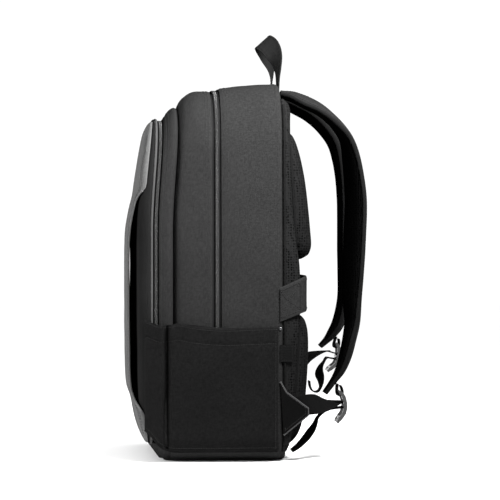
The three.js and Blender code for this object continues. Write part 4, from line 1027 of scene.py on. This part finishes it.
for name, side in SIDES.items():
    rows = []
    for o, up, c, w, k, turn in [*STRAP_TOP, *STRAP_FEET[name]]:
        hinge = STRAP_HINGE * (STRAP_WIDTH / 2) * math.sin(math.radians(turn * STRAP_TWIST[name]))
        rows.append((side * (STRAP_ROOT + (STRAP_FOOT - STRAP_ROOT) * c), MAIN_DEPTH + STRAP_REACH * o + hinge,
                     HEIGHT * up, w, k, side * turn * STRAP_TWIST[name]))
    places = frames(rows, 130, STRAP_WIDTH, STRAP_WALL)
    soft = []
    for i, (point, across, out, half, thick) in enumerate(places):
        ease = smooth_step(0, 10, i) * smooth_step(0, 10, 130 - i)
        swell = 1 + 0.035 * ease * grain(point.x, point.y, point.z, 24)
        soft.append((point, across, out, half + 0.5 * ease * grain(point.z, 9, point.y, 18), thick * swell))
    outer_sign = 1 if places[40][2].dot(Vector((0, 0.6, 0.8))) > 0 else -1
    label = f"shoulder_strap_cloth_{name}"
    inks = [strap_cloth, binding, under_mesh] if outer_sign > 0 else [under_mesh, binding, strap_cloth]
    mesh = sweep(label, soft, strap_section, paint=strap_paint)
    place(label, mesh, inks, [f"shoulder_strap_{name}"])
    paths = []
    for edge_side in (-1, 1):
        for inset in (4.6,):
            line = []
            for point, across, out, half, thick in soft[3:-3]:
                level = max(1 - abs((half - inset) / (half - 2.4)) ** 3.0, 0) ** 0.6
                height = 1.3 + (thick - 1.3) * level
                line.append((point + across * edge_side * (half - inset) + out * outer_sign * height,
                             (out * outer_sign + across * edge_side * 0.9).normalized()))
            paths.append(line)
    box = []
    for start_row, end_row in ((4, 14),):
        corners = [(start_row, -0.55), (start_row, 0.55), (end_row, 0.55), (end_row, -0.55), (start_row, -0.55),
                   (end_row, 0.55), (end_row, -0.55), (start_row, 0.55)]
        for (r0, a0), (r1, a1) in zip(corners, corners[1:]):
            line = []
            for k in range(13):
                t = k / 12
                r = r0 + (r1 - r0) * t
                point, across, out, half, thick = soft[int(round(r))]
                a = a0 + (a1 - a0) * t
                crown = max(1 - abs(a) ** 3.0, 0) ** 0.6
                line.append((point + across * a * (half - 2.4) + out * outer_sign * (1.3 + (thick - 1.3) * crown),
                             out * outer_sign))
            box.append(line)
    stitches(f"shoulder_strap_stitches_{name}", [*paths, *box], thread)

# ---- ladder locks, loops and adjuster webbing
LOCKS = {"right": (149.0, 65.5, 0.0), "left": (163.5, 115.0, -14.0)}
BARS = {"top": (-2.6, 15.6, 2.0), "ladder": (1.2, 1.6, 2.0)}


def lock_point(name, y, z):
    ly, lz, lean = LOCKS[name]
    a = math.radians(lean)
    return ly + y * math.cos(a) - z * math.sin(a), lz + y * math.sin(a) + z * math.cos(a)


ADJUSTER = {
    "right": ([(150.1, 90, 67, 90), (149.6, 101, 69.4, 89), (146, 113, 70.2, 72), (131, 124, 70.6, 48),
               (115, 134.5, 71.2, 18)],
              [(107, 131, 60.8, 0), (108, 124, 56.4, 0), (109, 118.6, 50.5, 0), (111, 114.6, 42, -8),
               (113, 109.6, 34, -14), (115, 103, 25.4, -12), (116, 95, 17.6, -8), (116, 86.5, 11.6, -4)]),
    "left": ([(150.1, 90, 67, 90), (149.6, 101, 74, 89), (147, 113, 95, 70), (131, 126, 113, 46),
              (115, 142, 121.5, 16)],
             [(107, 148, 108, 0), (108, 144.6, 101, 10), (109, 143.4, 92, 22), (110, 145, 82, 10),
              (110, 144.4, 75, 0), (110, 140.4, 70, 0), (110, 134.6, 70.6, 0), (110, 131, 76, 0),
              (110, 129.6, 84, 0)]),
}

for name, side in SIDES.items():
    y0, z0, radius = BARS["ladder"]
    reach = radius + CLEAR + WEB_WALL / 2
    wrap = [(-12, reach + 0.9), (-6, reach + 0.5), (0, reach), (0.9 * reach, 0.5 * reach),
            (0.9 * reach, -0.5 * reach), (0, -reach), (-6, -reach - 0.8), (-12, -reach - 1.6)]
    rows = [(side * x, y, z, 1, 1, side * turn) for x, y, z, turn in ADJUSTER[name][0]]
    rows += [(side * STRAP_FOOT, *lock_point(name, y0 + y, z0 + z), 1, 1, 0) for y, z in wrap]
    rows += [(side * x, y, z, 1, 1, side * turn) for x, y, z, turn in ADJUSTER[name][1]]
    places = frames(rows, 190, WEBBING, WEB_WALL)
    mesh = sweep(f"adjuster_webbing_cloth_{name}", places, flat_section, sharp=70)
    place(f"adjuster_webbing_cloth_{name}", mesh, [webbing], [f"adjuster_webbing_{name}"])
    hem = []
    for row in (180, 184):
        point, across, out, half, thick = places[row]
        for face in (-1, 1):
            hem.append([(point + across * half * (-0.86 + 0.172 * k) + out * face * thick, out * face)
                        for k in range(11)])
    stitches(f"adjuster_hem_stitches_{name}", hem, dark_thread, pitch=2.4, length=1.9, radius=0.3)
    y0, z0, radius = BARS["top"]
    reach = radius + CLEAR + WEB_WALL / 2
    loop_rows = [(-reach + 0.4, 11.2), (-reach - 0.1, 5), (-reach, 0), (-0.7 * reach, -0.75 * reach), (0, -reach),
                 (0.7 * reach, -0.75 * reach), (reach, 0), (reach - 0.2, 4), (0.35 * reach, 9)]
    rows = [(side * STRAP_FOOT, *lock_point(name, y0 + y, z0 + z), 1, 1, 0) for y, z in loop_rows]
    mesh = sweep(f"lock_loop_cloth_{name}", frames(rows, 56, WEBBING - 1, WEB_WALL), flat_section, sharp=70)
    place(f"lock_loop_cloth_{name}", mesh, [webbing], [f"lock_loop_{name}"])
    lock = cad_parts[f"ladder_lock_{name}"]
    lock.data.materials.clear()
    lock.data.materials.append(lock_plastic)
    bevel = lock.modifiers.new("round", "BEVEL")
    bevel.width = 0.5 * MM
    bevel.segments = 2
    bevel.limit_method = "ANGLE"
    bevel.angle_limit = math.radians(35)

# ---- grab handle
HANDLE = [(1, 0, 0, 0), (0.99, 0.03, 0.3, 4), (0.96, 0.05, 0.5, 18), (0.88, -0.1, 0.7, 45), (0.68, -0.45, 0.86, 70),
          (0.34, -0.85, 0.97, 84), (0, -1, 1, 90)]
HANDLE_FOOT, HANDLE_FORWARD, HANDLE_SEAT, HANDLE_RISE, HANDLE_WALL = 52.0, 15.0, 16.0, 74.0, 2.0


def handle():
    foot = MAIN_DEPTH + CLEAR + HANDLE_WALL / 2
    half = [(a * HANDLE_FOOT, foot + o * HANDLE_FORWARD, HEIGHT - HANDLE_SEAT + u * HANDLE_RISE, turn)
            for a, o, u, turn in HANDLE]
    rows = [*half, *[(-x, y, z, 180 - turn) for x, y, z, turn in half[:-1][::-1]]]
    points = [Vector(row[:3]) for row in rows]
    keyed = [(k, row[3]) for k, row in enumerate(rows)]
    lean = math.radians(42)
    places = []
    for i in range(121):
        t = i / 120
        tangent = (centripetal(points, min(t + 1e-4, 1)) - centripetal(points, max(t - 1e-4, 0))).normalized()
        turn = math.radians(lookup(keyed, 1, t * (len(rows) - 1)))
        across = Vector((math.cos(turn), math.sin(turn) * math.cos(lean), math.sin(turn) * math.sin(lean)))
        across = (across - tangent * across.dot(tangent)).normalized()
        places.append((centripetal(points, t), across, tangent.cross(across).normalized(), WEBBING / 2,
                       HANDLE_WALL / 2))
    mesh = sweep("grab_handle_webbing", places, flat_section, sharp=70)
    place("grab_handle_webbing", mesh, [handle_webbing], ["grab_handle"])
    lines = []
    for face in (-1, 1):
        for edge_side in (-1, 1):
            lines.append([(p + a * edge_side * (h - 2.6) + o * face * th, o * face) for p, a, o, h, th in places[12:-12]])
    stitches("grab_handle_stitches", lines, dark_thread, pitch=3.2, length=2.5, radius=0.3)


handle()

# ---- trolley strap
TROLLEY = [(-0.14, 1.0035), (0.12, 1.0035), (0.58, 0.998), (0.86, 0.975), (0.97, 0.935), (1, 0.86)]
TROLLEY_MIDDLE, TROLLEY_LIFT, TROLLEY_GAP, TROLLEY_HEIGHT, TROLLEY_WALL = 0.4163 * HEIGHT, 12.0, 5.6, 41.0, 2.4


def trolley():
    edge = rear_edge(TROLLEY_MIDDLE)
    reach = back_y(TROLLEY_MIDDLE + TROLLEY_LIFT) + TROLLEY_GAP - BACK_FRONT
    right = [Vector((x * edge, BACK_FRONT + out * reach, out)) for out, x in TROLLEY]
    controls = [*right, *[Vector((-p.x, p.y, p.z)) for p in right[::-1]]]
    path = [centripetal(controls, k / 240) for k in range(241)]
    rows, lines, grid = [], [], []
    steps = 14
    for i, p in enumerate(path):
        d = path[min(i + 1, 240)] - path[max(i - 1, 0)]
        normal = Vector((d.y, -d.x, 0)).normalized()
        middle_z = TROLLEY_MIDDLE + TROLLEY_LIFT * p.z
        half = TROLLEY_HEIGHT / 2 * (1 + 0.04 * p.z)
        calm = smooth_step(8, 40, i) * smooth_step(8, 40, 240 - i)
        outer, inner = [], []
        for k in range(steps + 1):
            u = -1 + 2 * k / steps
            at = Vector((p.x, p.y, middle_z + half * u))
            hem = 0.3 * smooth_step(0.72, 0.86, abs(u))
            soft = 0.5 * calm * grain(at.x, 4, at.z * 1.4, 30)
            lip = 0.9 * smooth_step(0.9, 1.0, abs(u))
            outer.append(at + normal * (TROLLEY_WALL * 0.86 + hem + soft * 0.4 - lip))
            inner.append(at + normal * (0.1 + 0.6 * lip))
        rows.append([*outer, *inner[::-1]])
        grid.append((outer, normal))
    mesh = skin("trolley_strap_cloth", rows, around=True, caps=True, sharp=70)
    place("trolley_strap_cloth", mesh, [body_cloth], ["trolley_strap"])

    def spot(i, u):
        outer, normal = grid[min(max(int(round(i)), 0), 240)]
        k = (u + 1) / 2 * steps
        low = min(int(k), steps - 1)
        return outer[low].lerp(outer[low + 1], k - low) + normal * 0.15, normal

    for u in (-0.8, 0.8):
        lines.append([spot(i, u) for i in range(3, 238)])
    for first, last in ((3, 78), (237, 162)):
        end = next(i for i in range(first, last, 1 if last > first else -1) if grid[i][0][0].y > BACK_FRONT + 0.72 * reach)
        corners = [(first, -0.8), (end, -0.8), (end, 0.8), (first, 0.8), (end, -0.8), (end, 0.8), (first, -0.8), (first, 0.8)]
        for (i0, u0), (i1, u1) in zip(corners, corners[1:]):
            lines.append([spot(i0 + (i1 - i0) * k / 20, u0 + (u1 - u0) * k / 20) for k in range(21)])
    stitches("trolley_strap_stitches", lines, thread, pitch=3.0, length=2.4)


trolley()

# ---- side pockets: out, x, top, bottom
POCKET = [
    (-0.02, -0.62, 1.055, 0.245), (0.03, -0.3, 1.035, 0.2), (0.09, 0.15, 1.015, 0.125), (0.17, 0.62, 1.02, 0.088),
    (0.22, 0.75, 1.03, 0.083), (0.32, 0.95, 1.012, 0.083), (0.45, 1, 0.997, 0.083), (0.58, 1, 0.99, 0.083),
    (0.72, 0.86, 0.995, 0.083), (0.86, 0.55, 1, 0.083), (0.965, 0.03, 1.002, 0.083),
]
POCKET_FRONT = PANEL_RIM - 3.4
POCKET_HEM = 20.0
CREASE_AT, CREASE_DEPTH = 0.138, 9.0


def pocket_point(side, out, level, wall):
    bottom, top = lookup(POCKET, 3, out), lookup(POCKET, 2, out)
    z = POCKET_HEIGHT * (bottom + (top - bottom) * level)
    x = lookup(POCKET, 1, out)
    fullness = 0.3 + 0.7 * smooth_step(0, 0.5, level)
    bulge = x * POCKET_BULGE * (fullness if x > 0 else 1)
    y = POCKET_FRONT + out * (MAIN_DEPTH - POCKET_FRONT)
    return Vector((side * (rear_edge(z) + CLEAR + wall + bulge), y, z))


def pocket(name, side):
    rows = []
    outs = [-0.02 + 0.985 * k / 88 for k in range(89)] + [CREASE_AT + 0.0035 * k for k in range(-9, 10)]
    outs = sorted(set(outs))
    for j in range(64):
        level = 0.5 - 0.5 * math.cos(math.pi * j / 63)
        outer, inner = [], []
        for out in outs:
            p = pocket_point(side, out, level, POCKET_WALL)
            top = POCKET_HEIGHT * lookup(POCKET, 2, out)
            below = top - p.z
            near = min(out + 0.02, 0.965 - out) * 160
            calm = smooth_step(0, 14, near) * smooth_step(0, 8, p.z - POCKET_HEIGHT * lookup(POCKET, 3, out))
            gathers = 0.7 * math.exp(-abs(below - POCKET_HEM) / 16) * grain(2.0, p.y * 1.5, p.z * 0.25 + 60 * side, 9)
            folds = 1.1 * grain(side * 30.0, p.y + 0.5 * p.z, p.z * 0.5, 34) + 0.5 * grain(side * 9.0, p.y * 1.4, p.z, 15)
            seam = -0.9 * math.exp(-((below - POCKET_HEM) / 1.3) ** 2)
            hem = 0.45 * (1 - smooth_step(POCKET_HEM - 1.5, POCKET_HEM + 0.5, below))
            lip = -0.7 * (1 - smooth_step(0, 1.4, below))
            shift = calm * (gathers + folds) * (0.5 + 0.5 * smooth_step(0, 20, below)) + seam * 0.7 + hem + lip
            sway = 0.006 * grain(50.0 * side, 4.0, p.z, 70)
            tuck = CREASE_DEPTH * math.exp(-((out - CREASE_AT - sway) / 0.018) ** 2)
            tuck *= smooth_step(0, 5, p.z - POCKET_HEIGHT * lookup(POCKET, 3, out))
            outer.append(p + Vector((side * (max(shift, -1.1) - tuck), 0, 0)))
            q = pocket_point(side, out, level, 0.15)
            inner.append(q + Vector((side * (0.5 * max(shift, 0) - tuck), 0, 0)))
        rows.append([*outer, *inner[::-1]])
    label = f"side_pocket_cloth_{name}"
    mesh = skin(label, rows, around=True, caps=True, sharp=70)
    obj = place(label, mesh, [pocket_cloth], [f"side_pocket_{name}"])
    tree = tree_of(obj)
    way = Vector((-side, 0, 0))
    lines = []
    for drop in (POCKET_HEM, 3.0):
        points = []
        for out in outs[1:-1]:
            p = pocket_point(side, out, 1.0, 4)
            points.append(Vector((p.x, p.y, POCKET_HEIGHT * lookup(POCKET, 2, out) - drop)))
        lines.append(drop_on(tree, points, way))
    foot_line = [pocket_point(side, out, 0.03, 4) for out in outs[1:-1]]
    rear_line = [pocket_point(side, 0.945, k / 60, 4) for k in range(1, 60)]
    lines += [drop_on(tree, foot_line, way), drop_on(tree, rear_line, way)]
    stitches(f"side_pocket_stitches_{name}", lines, thread, pitch=3.0, length=2.4)
    low = [pocket_point(side, out, 0.0, 1.1) for out in outs]
    place(f"side_pocket_foot_{name}", tube(f"side_pocket_foot_{name}", low, 1.1, sides=8), [binding])
    return obj


def lathe(name, centre, axis, profile, sides=24):
    """Turned piece: profile is (radius, height) pairs along the axis, in millimetres."""
    side_way = axis.orthogonal().normalized()
    up = axis.cross(side_way)
    rows = []
    for radius, height in profile:
        turns = [2 * math.pi * k / sides for k in range(sides)]
        rows.append([centre + axis * height + radius * (side_way * math.cos(a) + up * math.sin(a)) for a in turns])
    return skin(name, rows, around=True, caps=True, sharp=40)


SEAM_Y = MAIN_DEPTH - 3.7
for name, side in SIDES.items():
    pocket(name, side)
    centre = Vector((side * (rear_edge(POCKET_HEIGHT) + CLEAR), SEAM_Y + 0.6, POCKET_HEIGHT - 1.9))
    rivet = lathe(f"pocket_rivet_head_{name}", centre, Vector((side, 0, 0)), [
        (1.9, 0.0), (1.95, 0.35), (1.85, 0.75), (1.55, 1.05), (1.2, 1.15), (0.95, 1.0), (0.8, 0.75), (0.5, 0.85),
    ])
    place(f"pocket_rivet_head_{name}", rivet, [black_metal], [f"pocket_rivet_{name}"])

# ---- wings and label
WING = [(0, 1), (0.22, 0.8), (1, 0.5), (1, 0.37), (0.12, 0)]
WING_FOOT, WING_REACH, WING_HEIGHT, WING_WALL = 33.0, 34.0, 65.0, 3.0
wing_x = rear_edge(WING_FOOT + WING_HEIGHT) + CLEAR


def wing(name, side):
    rim = [Vector((0, SEAM_Y + WING_REACH * o, WING_FOOT + WING_HEIGHT * u)) for o, u in WING]
    dense = []
    for a, b in zip(rim, rim[1:] + rim[:1]):
        dense += [a.lerp(b, k / 12) for k in range(12)]
    centre = sum(dense, Vector()) / len(dense)
    rows = []
    for x, spread in ((0.3, 0.02), (0.3, 0.5), (0.25, 0.9), (0.35, 0.97), (WING_WALL / 2, 1.0), (WING_WALL - 0.35, 0.97),
                      (WING_WALL - 0.8, 0.9), (WING_WALL - 0.55, 0.5), (WING_WALL - 0.5, 0.02)):
        row = []
        for p in dense:
            q = centre.lerp(p, spread)
            wave = 0.25 * grain(side * 40.0, q.y, q.z, 12) if 0.3 < spread < 0.95 else 0
            row.append(Vector((side * (wing_x + x + wave), q.y, q.z)))
        rows.append(row)
    label = f"webbing_wing_cloth_{name}"
    obj = place(label, skin(label, rows, around=True, caps=True, sharp=60), [wing_cloth],
                [f"webbing_wing_{name}"])
    bound = []
    for i in range(0, 49):
        bound.append(Vector((side * (wing_x + WING_WALL / 2), 0, 0)) + centre.lerp(dense[i], 0.985))
    edge_name = f"wing_binding_{name}"
    place(edge_name, tube(edge_name, bound, 1.2, sides=8), [edge_binding])
    tree = tree_of(obj)
    line = [centre.lerp(p, 0.82) + Vector((side * (wing_x + 8), 0, 0)) for p in dense[:50]]
    for p in line:
        p.x = side * (wing_x + 8)
    stitches(f"wing_stitches_{name}", [drop_on(tree, line, Vector((-side, 0, 0)))], thread,
             pitch=2.8, length=2.2)


for name, side in SIDES.items():
    wing(name, side)

TAG_WIDTH, TAG_HEIGHT, TAG_MIDDLE = 17.0, 20.5, 131.5
tag_x = rear_edge(TAG_MIDDLE + TAG_HEIGHT / 2) + CLEAR


def tag():
    rows = []
    for j in range(17):
        v = -1 + 2 * j / 16
        outer, inner = [], []
        for k in range(15):
            u = k / 14
            bend = 0.25 * math.sin(u * 2.6) * (0.6 + 0.4 * v)
            thin = 0.3 if 0.06 < u < 0.94 and abs(v) < 0.92 else 0.0
            y = SEAM_Y + TAG_WIDTH * u
            z = TAG_MIDDLE + TAG_HEIGHT / 2 * v
            outer.append(Vector((tag_x + 0.72 - 0.4 * thin + bend * 0.4, y, z)))
            inner.append(Vector((tag_x + 0.08 + bend * 0.4, y, z)))
        rows.append([*outer, *inner[::-1]])
    mesh = skin("side_label_cloth", rows, around=True, caps=True, sharp=40)
    place("side_label_cloth", mesh, [binding], ["side_label"])
    way = Vector((1, 0, 0))
    line = [(Vector((tag_x + 0.75, SEAM_Y + TAG_WIDTH * u, TAG_MIDDLE + TAG_HEIGHT / 2 * v)), way)
            for u, v in ((0.12, -0.84), (0.5, -0.84), (0.88, -0.84), (0.88, 0), (0.88, 0.84), (0.5, 0.84), (0.12, 0.84),
                         (0.12, 0), (0.12, -0.84))]
    stitches("side_label_stitches", [line], thread, pitch=2.2, length=1.7, radius=0.22)


tag()

# ---- sliders keep their place, with rounded edges and a metal finish
for name in ("main_zip_slider", "front_zip_slider"):
    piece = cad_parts[name]
    piece.data.materials.clear()
    piece.data.materials.append(black_metal)
    bevel = piece.modifiers.new("round", "BEVEL")
    bevel.width = 0.6 * MM
    bevel.segments = 3
    bevel.limit_method = "ANGLE"

# ---- floor, light and camera
floor_mesh = bpy.data.meshes.new("floor")
floor_mesh.from_pydata([(-8, -8, 0), (8, -8, 0), (8, 8, 0), (-8, 8, 0)], [], [(0, 1, 2, 3)])
floor = bpy.data.objects.new("floor", floor_mesh)
bpy.context.scene.collection.objects.link(floor)
floor_finish = bpy.data.materials.new("floor")
floor_finish.use_nodes = True
floor_shader = floor_finish.node_tree.nodes["Principled BSDF"]
floor_shader.inputs["Base Color"].default_value = (0.97, 0.97, 0.97, 1)
floor_shader.inputs["Roughness"].default_value = 0.9
floor_mesh.materials.append(floor_finish)

scene = bpy.context.scene
world = bpy.data.worlds.new("studio")
world.use_nodes = True
world.node_tree.nodes["Background"].inputs["Color"].default_value = (1, 1, 1, 1)
world.node_tree.nodes["Background"].inputs["Strength"].default_value = 1.05
scene.world = world
scene.view_settings.view_transform = "Standard"


def area_light(name, place_at, aim, size, power, spread=180):
    data = bpy.data.lights.new(name, "AREA")
    data.shape = "RECTANGLE"
    data.size, data.size_y = size
    data.energy = power
    data.spread = math.radians(spread)
    obj = bpy.data.objects.new(name, data)
    obj.location = place_at
    obj.rotation_mode = "QUATERNION"
    obj.rotation_quaternion = (Vector(aim) - Vector(place_at)).to_track_quat("-Z", "Y")
    scene.collection.objects.link(obj)
    return obj


area_light("key", (0.4, -1.8, 0.15), (0, -0.1, 0.18), (0.8, 0.7), 110)
area_light("top", (0.62, 0.32, 0.85), (0.14, 0.04, 0.44), (0.4, 0.3), 14, spread=70)

camera_data = bpy.data.cameras.new("camera")
camera_data.sensor_width = 36
camera_data.lens = 171
camera = bpy.data.objects.new("camera", camera_data)
camera.location = (2.993, -0.165, 0.2556)
camera.rotation_mode = "QUATERNION"
camera.rotation_quaternion = Vector((-0.99756, 0.06976, 0)).to_track_quat("-Z", "Y")
scene.collection.objects.link(camera)
scene.camera = camera
